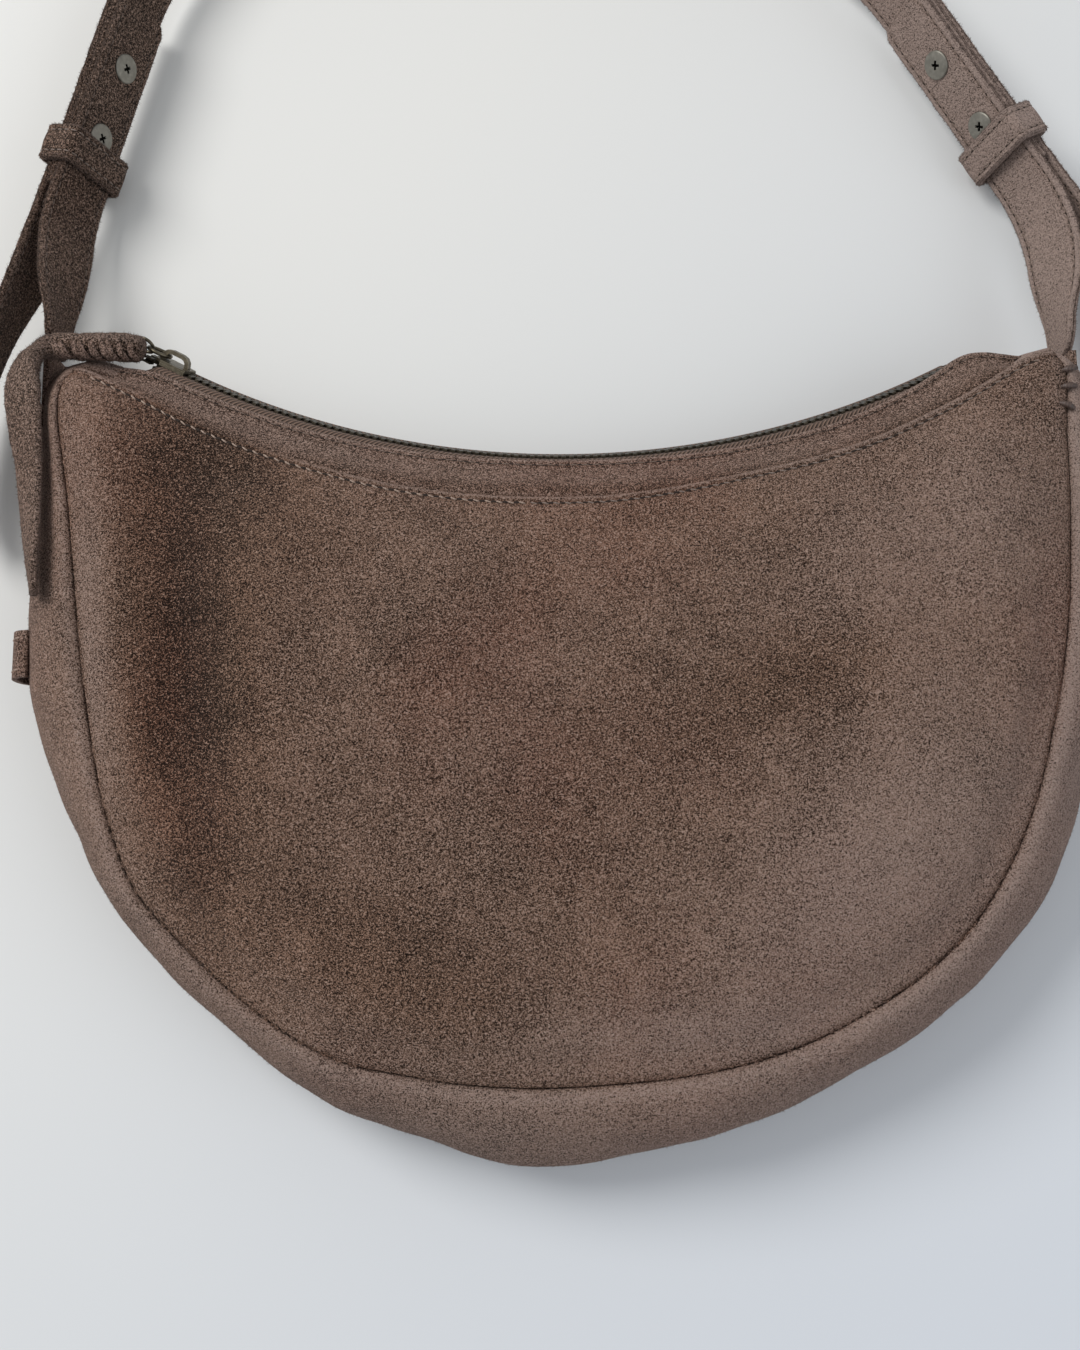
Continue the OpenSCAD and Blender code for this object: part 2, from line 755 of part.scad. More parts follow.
// the shoulder strap: between the layers at each end, and an arch over the top
arch_steps = 22;
function arch_end(side) = strap_frame(side, base_end(side) - over);
function bezier(p, t) =
  pow(1 - t, 3) * p[0] + 3 * pow(1 - t, 2) * t * p[1]
  + 3 * (1 - t) * t * t * p[2] + pow(t, 3) * p[3];
function bezier_way(p, t) =
  pow(1 - t, 2) * (p[1] - p[0]) + 2 * (1 - t) * t * (p[2] - p[1]) + t * t * (p[3] - p[2]);
arch_points =
  let (l = arch_end(-1), r = arch_end(1))
    [l[0], l[0] + l[1] * arch_reach, r[0] + r[1] * arch_reach, r[0]];
function arch_frame(t) =
  let (c = bezier(arch_points, t),
       way = bezier_way(arch_points, t),
       ahead = way / norm(way),
       inward = [ahead[1], -ahead[0], 0],
       across = -inward * cos(run_tilt) + [0, 0, 1] * sin(run_tilt),
       out = inward * sin(run_tilt) + [0, 0, 1] * cos(run_tilt))
    [c, ahead, across, out];

module shoulder_strap() {
  color(suede)
    difference() {
      union() {
        loft([for (i = [0 : arch_steps])
          strap_ring(arch_frame(i / arch_steps), strap_w, layer_2, strap_t)]);
        for (side = [-1, 1])
          run_plate(side, 0, run_l, layer_2);
      }
      for (side = [-1, 1])
        screw_bores(side);
    }
}

// the outer strap: behind the others through the keeper, then a free tail
tail_l = 120;
tail_steps = 12;
tail_swing_angle = 10;
tail_back_angle = 12;
function tail_heading(side, k) =
  bend_of(side) + tail_swing_angle * sin(half_turn * k) - (bend_of(side) + tail_back_angle) * k * k;
function tail_place(side, k) =
  let (dk = min(k, 1 / tail_steps), a = tail_heading(side, k - dk / 2),
       before = k <= dk ? strap_frame(side, run_start(side))[0] : tail_place(side, k - dk))
    before + dk * [tail_l * side * sin(a), -tail_l * cos(a), root_z - strap_w / 4 - run_z];
function tail_frame_at(side, k) =
  let (c = tail_place(side, k), a = tail_heading(side, k),
       tilt = run_tilt + (quarter - run_tilt) * eased(k * 2),
       inward = [-side * cos(a), -sin(a), 0],
       along = [-side * sin(a), cos(a), 0],
       across = -inward * cos(tilt) + [0, 0, 1] * sin(tilt),
       out = inward * sin(tilt) + [0, 0, 1] * cos(tilt))
    [c, along, across, out];

// the tail's rings, closer together at its round tip
tip_steps = 5;
tip_l = strap_w / 2;
tail_shares = concat(
  [for (i = [1 : tip_steps]) 1 - tip_l / tail_l * (1 - cos(quarter * i / (tip_steps + 1)))],
  [for (i = [tail_steps - 1 : -1 : 0]) i / tail_steps]
);
function tip_share(k) = sqrt(max(0, 1 - pow(max(0, 1 - (1 - k) * tail_l / tip_l), 2)));

module strap_tail(side) {
  color(suede)
    difference() {
      union() {
        loft([for (k = tail_shares)
          strap_ring(tail_frame_at(side, k), strap_w * tip_share(k), layer_3, strap_t)]);
        run_plate(side, 0, run_l - fit, layer_3);
      }
      screw_bores(side);
    }
}

module keeper(side) {
  gap_h = 3 * strap_t + 2 * head_t + 2 * seat;
  gap_w = strap_w + 2 * seat;
  middle = (layer_1 + layer_bottom) / 2;
  color(suede)
    on_run(side, keeper_at(side))
      difference() {
        translate([0, 0, middle])
          cube([keeper_l, gap_w + 2 * keeper_t, gap_h + 2 * keeper_t], center = true);
        translate([0, 0, middle])
          cube([keeper_l + over, gap_w, gap_h], center = true);
      }
}

module each_screw() {
  for (side = [-1, 1])
    for (s = [screw_in(side), screw_out(side)])
      on_run(side, s)
        children();
}

shank_l = 2 * strap_t;
head_edge = 0.3;
slot_share = 0.6;

module head() {
  translate([0, 0, head_t - head_edge])
    cylinder(d1 = head_d, d2 = head_d - 2 * head_edge, h = head_edge);
  cylinder(d = head_d, h = head_t - head_edge);
}

module strap_screws() {
  color(nickel)
    each_screw()
      translate([0, 0, layer_1])
        difference() {
          union() {
            head();
            translate([0, 0, -shank_l])
              cylinder(d = shank_d, h = shank_l);
          }
          for (i = [0, 1])
            rotate([0, 0, quarter * (i + 0.5)])
              translate([0, 0, head_t])
                cube([slot_l, slot_w, 2 * head_t * slot_share], center = true);
        }
}

module strap_posts() {
  barrel_l = 3 * strap_t - fit;
  color(nickel)
    each_screw()
      translate([0, 0, layer_bottom])
        difference() {
          union() {
            mirror([0, 0, 1])
              head();
            cylinder(d = barrel_d, h = barrel_l);
          }
          translate([0, 0, barrel_l - shank_l - seat])
            cylinder(d = shank_d + 2 * tooth_gap, h = shank_l + seat + over);
        }
}

front_panel();
back_panel();
gusset();
zip_facing_front();
zip_facing_back();
zip_tape_front();
zip_tape_back();
zip_teeth_front();
zip_teeth_back();
zip_top_stops();
zip_bottom_stop();
slider_body();
pull_ring();
pull_link();
pull_tab();
side_loop();
strap_root(-1);  // strap_root_left
strap_root(1);  // strap_root_right
strap_base(-1);  // strap_base_left
strap_base(1);  // strap_base_right
shoulder_strap();
strap_tail(-1);  // strap_tail_left
strap_tail(1);  // strap_tail_right
keeper(-1);  // keeper_left
keeper(1);  // keeper_right
strap_screws();
strap_posts();
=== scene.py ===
# %% [markdown]
# # A half moon bag in brushed suede
# The bag lies on its back on a pale table and is seen from above. Its hard parts, the zip's
# teeth, the slider and its rings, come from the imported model. Everything soft is built here
# around them: sheets of suede for the body, bands along the zip, straps in three layers,
# keepers, a rolled pull, and every stitch of thread. The screws' heads are built here too.
# All working numbers are in millimetres. They turn to metres where a mesh is made.

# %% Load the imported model
import math

import bpy
import numpy as np
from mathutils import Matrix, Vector, noise


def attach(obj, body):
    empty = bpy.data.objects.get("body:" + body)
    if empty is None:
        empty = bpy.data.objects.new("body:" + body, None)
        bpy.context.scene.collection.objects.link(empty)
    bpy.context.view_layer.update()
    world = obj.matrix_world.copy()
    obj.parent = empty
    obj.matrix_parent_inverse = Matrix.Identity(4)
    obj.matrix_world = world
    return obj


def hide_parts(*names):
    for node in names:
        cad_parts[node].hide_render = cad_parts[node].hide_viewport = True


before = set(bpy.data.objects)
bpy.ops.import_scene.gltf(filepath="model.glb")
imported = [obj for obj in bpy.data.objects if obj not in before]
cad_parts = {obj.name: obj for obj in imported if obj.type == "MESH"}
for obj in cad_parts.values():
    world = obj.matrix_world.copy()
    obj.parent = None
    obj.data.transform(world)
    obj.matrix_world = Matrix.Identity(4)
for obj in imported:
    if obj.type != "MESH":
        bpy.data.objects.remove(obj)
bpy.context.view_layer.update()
MM = 0.001

# %% [markdown]
# The camera comes first, because every later choice is judged through it. It hangs half a metre
# over the table, tipped a little up the bag, with the angle of view of a phone's main lens, which
# is given along the longer side of the picture.

# %% Camera
TALL_ANGLE = 46.57
TIP = 9.0
CAMERA_AT = (-6.5, -55.05, 515.2)
camera_data = bpy.data.cameras.new("over_the_table")
camera_data.sensor_fit = "AUTO"
camera_data.sensor_width = 36.0
camera_data.lens = camera_data.sensor_width / 2 / math.tan(math.radians(TALL_ANGLE / 2))
camera = bpy.data.objects.new("over_the_table", camera_data)
camera.location = Vector(CAMERA_AT) * MM
camera.rotation_euler = (math.radians(TIP), 0, 0)
bpy.context.scene.collection.objects.link(camera)
bpy.context.scene.camera = camera
print("lens", round(camera_data.lens, 2), "mm")

# %% [markdown]
# The helpers for lines come next. One runs a smooth curve through a few measured points and
# sets out new points along it at even steps. Another gives the distance from many points to a
# line, which later makes seams sink and edges roll.

# %% Lines


def eased(x):
    """A share that starts and stops gently."""
    x = min(1.0, max(0.0, x))
    return x * x * (3 - 2 * x)


def bell(x, middle, half):
    """One at the middle, falling softly to nothing on both sides."""
    return np.exp(-((x - middle) / half) ** 2)


def unit(vectors):
    """The same vectors with a length of one."""
    return vectors / np.maximum(np.linalg.norm(vectors, axis=-1, keepdims=True), 1e-9)


def run_along(line):
    """How far along a line each of its points is."""
    return np.concatenate([[0], np.cumsum(np.linalg.norm(np.diff(line, axis=0), axis=1))])


def smooth_line(points, count, fine=24):
    """A smooth curve through the points, as `count` points at even steps."""
    p = np.array(points, float)
    ext = np.vstack([2 * p[0] - p[1], p, 2 * p[-1] - p[-2]])
    t = np.linspace(0, 1, fine, endpoint=False)[:, None]
    runs = []
    for a, b, c, d in zip(ext, ext[1:], ext[2:], ext[3:]):
        runs.append(0.5 * (2 * b + (c - a) * t + (2 * a - 5 * b + 4 * c - d) * t ** 2
                           + (3 * b - a - 3 * c + d) * t ** 3))
    dense = np.vstack(runs + [p[-1:]])
    return even_steps(dense, count)


def even_steps(line, count, crowd=lambda t: t):
    """The same line with `count` points, evenly apart or crowded as the function says."""
    at = run_along(line)
    want = at[-1] * crowd(np.linspace(0, 1, count))
    return np.stack([np.interp(want, at, line[:, k]) for k in range(line.shape[1])], 1)


LINE_POINTS, AT_ONCE = 700, 2000


def distance_to(line, points):
    """Distance in plan from each point to the nearest point of a line."""
    line = even_steps(np.array(line, float)[:, :2], LINE_POINTS)
    found = []
    for block in np.array_split(points[:, :2], max(1, len(points) // AT_ONCE)):
        found.append(np.linalg.norm(block[:, None] - line[None], axis=2).min(1))
    return np.concatenate(found)


# %% [markdown]
# Soft sheets are grids: rows of points that become quads. A grid keeps even faces, so light
# runs over it without marks, and a row can be moved by a formula. Each sheet is closed to its
# real thickness, because suede has a cut edge that shows. It also keeps a painted mask of wear,
# shade and sheen. Above zero the nap is paler: partly real wear where hands and folds have
# brushed it, partly painted sheen and painted light. Below zero it is darker: painted shade in
# seams, grooves and hollows.

# %% Grids of quads


def make_piece(name, points, faces, body, material, instead=()):
    """A mesh piece in metres that rides on a body and stands for its nodes."""
    mesh = bpy.data.meshes.new(name)
    mesh.from_pydata([tuple(p) for p in np.array(points, float) * MM], [], faces)
    mesh.validate()
    mesh.polygons.foreach_set("use_smooth", [True] * len(mesh.polygons))
    mesh.materials.append(material)
    piece = bpy.data.objects.new(name, mesh)
    bpy.context.scene.collection.objects.link(piece)
    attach(piece, body)
    if instead:
        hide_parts(*instead)
    return piece


def paint_number(piece, values, label="wear_shade_and_sheen"):
    """Keeps one number a vertex, which a material reads by its label."""
    layer = piece.data.attributes.new(label, "FLOAT", "POINT")
    layer.data.foreach_set("value", np.array(values, np.float32))


def grid_faces(rows, columns, start=0, around=False, flip=False):
    """Quads over a grid, whose columns may join up into a tube."""
    faces = []
    last = columns if around else columns - 1
    for i in range(rows - 1):
        for j in range(last):
            a, b = start + i * columns + j, start + i * columns + (j + 1) % columns
            quad = (a, b, b + columns, a + columns)
            faces.append(quad[::-1] if flip else quad)
    return faces


def tube_faces(rows, columns, start=0):
    """Quads round a tube, and one face over each of its ends."""
    last = start + (rows - 1) * columns
    return grid_faces(rows, columns, start, around=True) + [
        tuple(range(start + columns - 1, start - 1, -1)), tuple(range(last, last + columns))]


def grid_normals(grid):
    """Unit normals of a grid of points, from its two directions."""
    return unit(np.cross(np.gradient(grid, axis=1), np.gradient(grid, axis=0)))


def sheet_of(name, grid, thick, body, material, instead=(), wear_shade_and_sheen=None,
             out=1.0):
    """A grid closed to a sheet: the given points face out, and the back lies behind."""
    rows, columns = grid.shape[:2]
    back = grid + grid_normals(grid) * thick * out
    points = np.concatenate([grid.reshape(-1, 3), back.reshape(-1, 3)])
    n = rows * columns
    flip = out > 0
    faces = grid_faces(rows, columns, flip=flip) + grid_faces(rows, columns, n, flip=not flip)
    edge = (list(range(columns)) + [i * columns + columns - 1 for i in range(1, rows)]
            + [(rows - 1) * columns + j for j in range(columns - 2, -1, -1)]
            + [i * columns for i in range(rows - 2, 0, -1)])
    for a, b in zip(edge, edge[1:] + edge[:1]):
        quad = (a, b, b + n, a + n)
        faces.append(quad if flip else quad[::-1])
    piece = make_piece(name, points, faces, body, material, instead)
    paint_number(piece, np.tile((np.zeros(n) if wear_shade_and_sheen is None else wear_shade_and_sheen.reshape(-1)), 2))
    return piece


def tube_of(name, rings, body, material, instead=(), wear_shade_and_sheen=None):
    """Rings of points joined into a closed skin with flat ends."""
    rings = np.array(rings, float)
    rows, columns = rings.shape[:2]
    faces = tube_faces(rows, columns)
    way = rings[1].mean(0) - rings[0].mean(0)
    turn = np.cross(rings[0] - rings[0].mean(0), np.roll(rings[0], -1, 0) - rings[0].mean(0))
    if turn.sum(0) @ way < 0:
        faces = [f[::-1] for f in faces]
    piece = make_piece(name, rings.reshape(-1, 3), faces, body, material, instead)
    paint_number(piece, np.zeros(rows * columns) if wear_shade_and_sheen is None else np.array(wear_shade_and_sheen).reshape(-1))
    return piece


def wander(points, size, amount, seed=0.0):
    """Slow random rise and fall at each point, the same on every run."""
    return np.array([noise.noise(Vector(p) / size + Vector((seed, seed, seed))) * amount
                     for p in np.array(points, float).reshape(-1, 3)])


# %% [markdown]
# ## Suede
# Suede is leather split or sanded until its fibres stand up. Close to, it is a felt of short
# fibres: pale tips, dark gaps, and the light tips are painted in as a painted highlight. Further
# off, the fibres lie over in patches, and each patch is lighter or darker by how it leans to the
# light: the cloud and mottle paint that in, a painted sheen over the leather's own uneven tone.
# So its colour needs three scales of the same effect, and they are made once, as a node group:
# cloud (hand-sized patches), mottle (finger-sized) and fibre (under a millimetre). The group
# gives a colour, and a height for a bump node.

# %% Suede nap group


def new_group(name, inputs, outputs):
    """An empty shader node group with named sockets."""
    group = bpy.data.node_groups.new(name, "ShaderNodeTree")
    for label, kind, value in inputs:
        made = group.interface.new_socket(label, in_out="INPUT", socket_type=kind)
        made.default_value = value
    for label, kind in outputs:
        group.interface.new_socket(label, in_out="OUTPUT", socket_type=kind)
    return group


def fill(tree, node, values):
    """Plain values or links for a node's inputs."""
    for key, value in values.items():
        if isinstance(value, bpy.types.NodeSocket):
            tree.links.new(value, node.inputs[key])
        else:
            node.inputs[key].default_value = value
    return node


def add(tree, kind, values=None, **settings):
    """A node with its settings and its inputs."""
    node = tree.nodes.new(kind)
    for key, value in settings.items():
        setattr(node, key, value)
    return fill(tree, node, values or {})


def sum_of(tree, first, second, factor=1.0):
    """first + second * factor, as one socket."""
    return add(tree, "ShaderNodeMath", {0: second, 1: factor, 2: first},
               operation="MULTIPLY_ADD").outputs[0]


def maths(tree, operation, *values, **settings):
    """One sum on one or two values, as one socket."""
    return add(tree, "ShaderNodeMath", dict(enumerate(values)), operation=operation,
               **settings).outputs[0]


def noise_of(tree, place, scale, detail, **more):
    """The number of a noise texture, as one socket."""
    values = {"Vector": place, "Scale": scale, "Detail": detail,
              **{key.capitalize(): value for key, value in more.items()}}
    return add(tree, "ShaderNodeTexNoise", values).outputs["Fac"]


def mix_of(tree, share, low, high, **settings):
    """A colour between two colours, as one socket."""
    values = {0: share, 6: low, 7: high}
    values = {k: (*v, 1) if isinstance(v, tuple) and len(v) == 3 else v for k, v in values.items()}
    return add(tree, "ShaderNodeMix", values, data_type="RGBA", **settings).outputs[2]


def scaled(tree, value, low, high, to_low=0.0, to_high=1.0):
    """A value mapped from one range to another, as one socket."""
    return add(tree, "ShaderNodeMapRange", {"Value": value, "From Min": low, "From Max": high,
                                            "To Min": to_low, "To Max": to_high}).outputs[0]


def bumped(tree, height, strength, distance):
    """A normal that a height has bent, with the distance in metres."""
    return add(tree, "ShaderNodeBump", {"Height": height, "Strength": strength,
                                        "Distance": distance}).outputs[0]


def build_nap():
    """The nap's node group: cloud, mottle and fibre, then the mask of wear, painted shade and painted
    sheen, warmth, and light tips painted as a highlight.
    """
    colour, number = "NodeSocketColor", "NodeSocketFloat"
    group = new_group("suede nap", [
        ("Dark", colour, (0.07, 0.045, 0.035, 1)), ("Light", colour, (0.2, 0.15, 0.125, 1)),
        ("Warm", colour, (0.2, 0.11, 0.075, 1)), ("Pale", colour, (0.29, 0.225, 0.2, 1)),
        ("Cloud", number, 0.5), ("Mottle", number, 0.4), ("Fibre", number, 0.6),
        ("Wear, shade and sheen", number, 0.35), ("Fibre size", number, 1.0),
    ], [("Colour", colour), ("Height", number), ("Roughness", number)])
    tree = group
    given = tree.nodes.new("NodeGroupInput").outputs
    place = add(tree, "ShaderNodeTexCoord").outputs["Object"]
    mottle_at = add(tree, "ShaderNodeMapping", {"Vector": place, "Scale": (1, 0.75, 1)}).outputs[0]
    fibre_scale = maths(tree, "DIVIDE", 1800.0, given["Fibre size"])
    tip_scale = maths(tree, "DIVIDE", 3600.0, given["Fibre size"])
    cloud = noise_of(tree, place, 17.0, 3.0, roughness=0.55, distortion=0.6)
    mottle = noise_of(tree, mottle_at, 85.0, 4.0, roughness=0.62, distortion=0.4)
    fibre = noise_of(tree, place, fibre_scale, 1.5, roughness=0.6, distortion=0.5)
    tip = noise_of(tree, place, tip_scale, 1.0, distortion=0.6)
    warm = noise_of(tree, mottle_at, 11.0, 2.0)

    def centred(socket, gain):
        return maths(tree, "MULTIPLY", maths(tree, "SUBTRACT", socket, 0.5), gain)

    wear_shade_and_sheen = add(tree, "ShaderNodeAttribute", attribute_name="wear_shade_and_sheen").outputs["Fac"]
    warm_tint = add(tree, "ShaderNodeAttribute", attribute_name="warm_tint").outputs["Fac"]
    grain = sum_of(tree, centred(fibre, 4.6), centred(tip, 4.0))
    tone = sum_of(tree, 0.42, centred(cloud, 1.5), given["Cloud"])
    tone = sum_of(tree, tone, centred(mottle, 1.5), given["Mottle"])
    tone = sum_of(tree, tone, grain, given["Fibre"])
    tone = sum_of(tree, tone, wear_shade_and_sheen, given["Wear, shade and sheen"])
    held = add(tree, "ShaderNodeClamp", {"Value": tone}).outputs[0]
    body = mix_of(tree, held, given["Dark"], given["Light"])
    warmth = scaled(tree, sum_of(tree, warm, warm_tint, 0.3), 0.5, 0.8, to_high=0.5)
    toned = mix_of(tree, warmth, body, given["Warm"], blend_type="SOFT_LIGHT")
    # where the mask is above zero the colour turns grey and pink and keeps the grain: brushed nap, and
    # painted sheen and light where the mask paints them
    pale_share = sum_of(tree, wear_shade_and_sheen, centred(mottle, 1.2), 0.35)
    pale_share = maths(tree, "MULTIPLY", sum_of(tree, pale_share, grain, 0.7), 0.62, use_clamp=True)
    worn_and_sheen = mix_of(tree, pale_share, toned, given["Pale"])
    # the highest fibres end in light tips, a painted highlight
    tip_highlight = scaled(tree, fibre, 0.57, 0.78, to_high=0.55)
    final = mix_of(tree, tip_highlight, worn_and_sheen, (0.43, 0.32, 0.26))
    height = sum_of(tree, sum_of(tree, fibre, tip, 0.45), mottle, 0.8)
    rough = scaled(tree, tone, 0.0, 1.0, 0.95, 0.78)
    add(tree, "NodeGroupOutput", {"Colour": final, "Height": height, "Roughness": rough})
    return group


nap_group = build_nap()
print("nap group", len(nap_group.nodes), "nodes")

# %% [markdown]
# A suede material places that group, bumps by its height and adds a little sheen, which is the
# light that grazing fibres catch. Panels that were cut from other parts of the hide take their
# own dark and light. So do panels that face another way, and there the change is painted light
# and shade.

# %% Suede materials


def new_material(name):
    """A material with one Principled shader, and its tree."""
    material = bpy.data.materials.new(name)
    material.use_nodes = True
    tree = material.node_tree
    return material, tree, tree.nodes["Principled BSDF"]


GREY_PINK = (0.32, 0.245, 0.215, 1)


def suede(name, dark, light, warm, cloud=0.2, mottle=0.3, fibre=0.62, wear_shade_and_sheen=0.35, size=1.0):
    """A suede of its own three colours, whose brushed tips are all the same grey and pink."""
    material, tree, skin = new_material(name)
    nap = add(tree, "ShaderNodeGroup", {
        "Dark": (*dark, 1), "Light": (*light, 1), "Warm": (*warm, 1), "Pale": GREY_PINK,
        "Cloud": cloud, "Mottle": mottle, "Fibre": fibre, "Wear, shade and sheen": wear_shade_and_sheen, "Fibre size": size,
    }, node_tree=nap_group).outputs
    fill(tree, skin, {"Base Color": nap["Colour"], "Roughness": nap["Roughness"],
                      "Normal": bumped(tree, nap["Height"], 0.8, 0.0011),
                      "Specular IOR Level": 0.1, "Sheen Weight": 0.13, "Sheen Roughness": 0.5,
                      "Sheen Tint": (0.8, 0.66, 0.6, 1)})
    return material


body_suede = suede("suede, body", (0.008, 0.003, 0.001), (0.335, 0.198, 0.136),
                   (0.30, 0.10, 0.05), cloud=0.3, fibre=0.56, wear_shade_and_sheen=0.22)
band_suede = suede("suede, bands", (0.012, 0.006, 0.003), (0.335, 0.212, 0.16),
                   (0.30, 0.12, 0.07), mottle=0.22, wear_shade_and_sheen=0.22)
strap_suede = suede("suede, straps", (0.006, 0.003, 0.001), (0.275, 0.18, 0.135),
                    (0.30, 0.15, 0.09), mottle=0.22, fibre=0.7, size=1.1, wear_shade_and_sheen=0.24)
fuzz_suede = suede("suede, loose fibres", (0.06, 0.037, 0.027), (0.24, 0.175, 0.148),
                   (0.25, 0.13, 0.08), size=0.8)
print("suedes: body, bands, straps and loose fibres")

# %% [markdown]
# A cut edge of suede sheds loose fibres, which stand out against the table as a fine fuzz. Each
# fibre is one closed sliver with three sides, from a quarter of its full length to all of it,
# set at random along the edge and pointing out of it more or less.

# %% Loose fibres


FIBRE_THICK, FIBRE_LAY, FIBRE_ROOT = 0.2, 0.6, 0.15


def fuzz(name, grid, outs, body, count, seed, long=1.25, wear_shade_and_sheen=0.3):
    """Slivers that stand out of a grid's points, between its rows."""
    chance = np.random.default_rng(seed)
    row = chance.integers(0, grid.shape[0] - 1, count)
    column = chance.integers(0, grid.shape[1], count)
    t = chance.random((count, 1))
    spot = grid[row, column] * (1 - t) + grid[row + 1, column] * t
    way = unit(outs[row, column] + chance.normal(0, FIBRE_LAY, (count, 3)))
    side = np.cross(way, chance.normal(0, 1, (count, 3)))
    side *= FIBRE_THICK / 2 / np.linalg.norm(side, axis=1, keepdims=True)
    third = np.cross(way, side)
    tall = long * (0.25 + 0.75 * chance.random((count, 1)) ** 2)
    root = spot - way * FIBRE_ROOT
    points = np.stack([root - side, root + side, root + third, spot + way * tall], 1)
    points = points.reshape(-1, 3)
    faces = [tuple(4 * i + k for k in face) for i in range(count)
             for face in ((0, 1, 2), (1, 0, 3), (2, 1, 3), (0, 2, 3))]
    piece = make_piece(name, points, faces, body, fuzz_suede)
    paint_number(piece, np.full(len(points), wear_shade_and_sheen))
    return piece


def outs_of(rings):
    """Directions out of each ring's middle."""
    return unit(rings - rings.mean(1, keepdims=True))


# %% [markdown]
# ## Thread
# Polyester thread is two or three plies twisted together, and it shines a little where it
# bridges two needle holes. A slanting wave is enough for the twist at this size, and the thread
# is painted darker between its plies, a painted shade. The thread of the long seams has gone
# grey-brown with lint. Its paler copy is the same thread with a painted glint where the light
# catches it. The thick hand stitches are darker.

# %% Thread


def thread(name, colour):
    """A twisted thread, with painted shade between its plies."""
    material, tree, skin = new_material(name)
    place = add(tree, "ShaderNodeTexCoord").outputs["Object"]
    slant = add(tree, "ShaderNodeMapping", {"Vector": place, "Rotation": (0.5, 0.4, 0.6)})
    plies = add(tree, "ShaderNodeTexWave", {"Vector": slant.outputs[0], "Scale": 400.0,
                                            "Distortion": 1.0, "Detail": 1.0}).outputs["Fac"]
    tone = sum_of(tree, plies, noise_of(tree, place, 260.0, 2.0), 0.8)
    mixed = mix_of(tree, tone, tuple(c * 0.45 for c in colour), colour)
    fill(tree, skin, {"Base Color": mixed, "Normal": bumped(tree, plies, 0.6, 0.0001),
                      "Roughness": 0.5})
    return material


# the pale thread is the seam thread painted lighter, a painted glint where the light catches it
glinting_thread = thread("thread, long seams, painted glint", (0.36, 0.265, 0.21))
dull_thread = thread("thread, straps", (0.22, 0.165, 0.135))
suede_thread = thread("thread, zip bands", (0.16, 0.11, 0.085))
dark_thread = thread("thread, hand stitches", (0.085, 0.055, 0.045))
# needle holes are painted shade: a dark colour in the recess between stitches
needle_hole_shade, hole_tree, hole_skin = new_material("needle holes, painted shade")
hole_grain = add(hole_tree, "ShaderNodeTexNoise", {"Scale": 900.0}).outputs["Fac"]
hole_tone = mix_of(hole_tree, hole_grain, (0.012, 0.007, 0.005), (0.035, 0.022, 0.016))
fill(hole_tree, hole_skin, {"Base Color": hole_tone, "Roughness": 0.95})
print("threads: pale, dull, suede-coloured and dark, and the dark of needle holes, painted shade")

# %% [markdown]
# A machine stitch is a short bead of thread that rises from one needle hole and dives into the
# next. One mesh holds a whole seam: at each step a small six-sided bead is laid along the line,
# bowed up in the middle. A needle hole is painted shade: a straight dark bead between two
# others, set a little lower than they are.

# %% Stitches
BEAD_SIDES = 6
BEAD_SHARES = (-1.0, -0.72, 0.0, 0.72, 1.0)
BEAD_GIRTH = (0.25, 0.8, 1.0, 0.8, 0.25)
STEP_ASIDE = 0.2
# a needle hole's depth and width against the thread, and how far it runs under the beads
HOLE_SUNK, HOLE_WIDE, HOLE_OVER = 0.22, 1.35, 0.4


def beads(spots, ways, ups, length, thick, bow=0.25, lean=0.0):
    """Points and faces of one bead at each spot, along its way and bowed up."""
    points, faces = [], []
    for c, w, u in zip(spots, ways, ups):
        w = unit(w)
        u = unit(u - w * (u @ w))
        side = np.cross(w, u)
        w = w * math.cos(lean) + side * math.sin(lean)
        side = np.cross(w, u)
        first = len(points)
        for share, girth in zip(BEAD_SHARES, BEAD_GIRTH):
            at = c + w * length / 2 * share + u * thick * bow * (1 - 2.2 * share * share)
            for k in range(BEAD_SIDES):
                a = 2 * math.pi * k / BEAD_SIDES
                points.append(at + (side * math.cos(a) + u * math.sin(a) * 0.8)
                              * girth * thick / 2)
        faces += tube_faces(len(BEAD_SHARES), BEAD_SIDES, first)
    return points, faces


def spots_along(line, ups, pitch):
    """Even spots along a line with its way and the surface's up at each."""
    line, ups = np.array(line, float), np.array(ups, float)
    at = run_along(line)
    want = np.linspace(pitch / 2, at[-1] - pitch / 2, max(2, int(round(at[-1] / pitch))))
    pick = lambda v, s: np.stack([np.interp(s, at, v[:, k]) for k in range(3)], 1)
    ways = pick(line, want + STEP_ASIDE) - pick(line, want - STEP_ASIDE)
    return pick(line, want), ways, unit(pick(ups, want))


def seam_of(name, lines, body, material, pitch=3.6, length=2.7, thick=0.62, lean=0.0):
    """All the stitches of a seam, and the painted shade of the needle holes between them."""
    made = {name: ([], [], material), name + "_painted_hole_shade": ([], [], needle_hole_shade)}
    for line, ups in lines:
        spots, ways, up = spots_along(line, ups, pitch)
        between = (spots[1:] + spots[:-1]) / 2 - up[1:] * (thick * HOLE_SUNK)
        laid = (beads(spots, ways, up, length, thick, lean=lean),
                beads(between, ways[1:], up[1:], pitch - length + HOLE_OVER, thick * HOLE_WIDE,
                      bow=0.0))
        for (points, faces, _), (p, f) in zip(made.values(), laid):
            faces.extend(tuple(i + len(points) for i in face) for face in f)
            points.extend(p)
    for label, (points, faces, look) in made.items():
        make_piece(label, points, faces, body, look)


# %% [markdown]
# ## The body of the bag
# Four lines carry the whole shape: the fold along the top of the front panel, the front seam
# that runs down one side, round the bottom and up the other, the widest line of the gusset, and
# the back seam. They are drawn from measured points. The right side is fuller than the left,
# and the gusset comes to a soft corner below the middle.

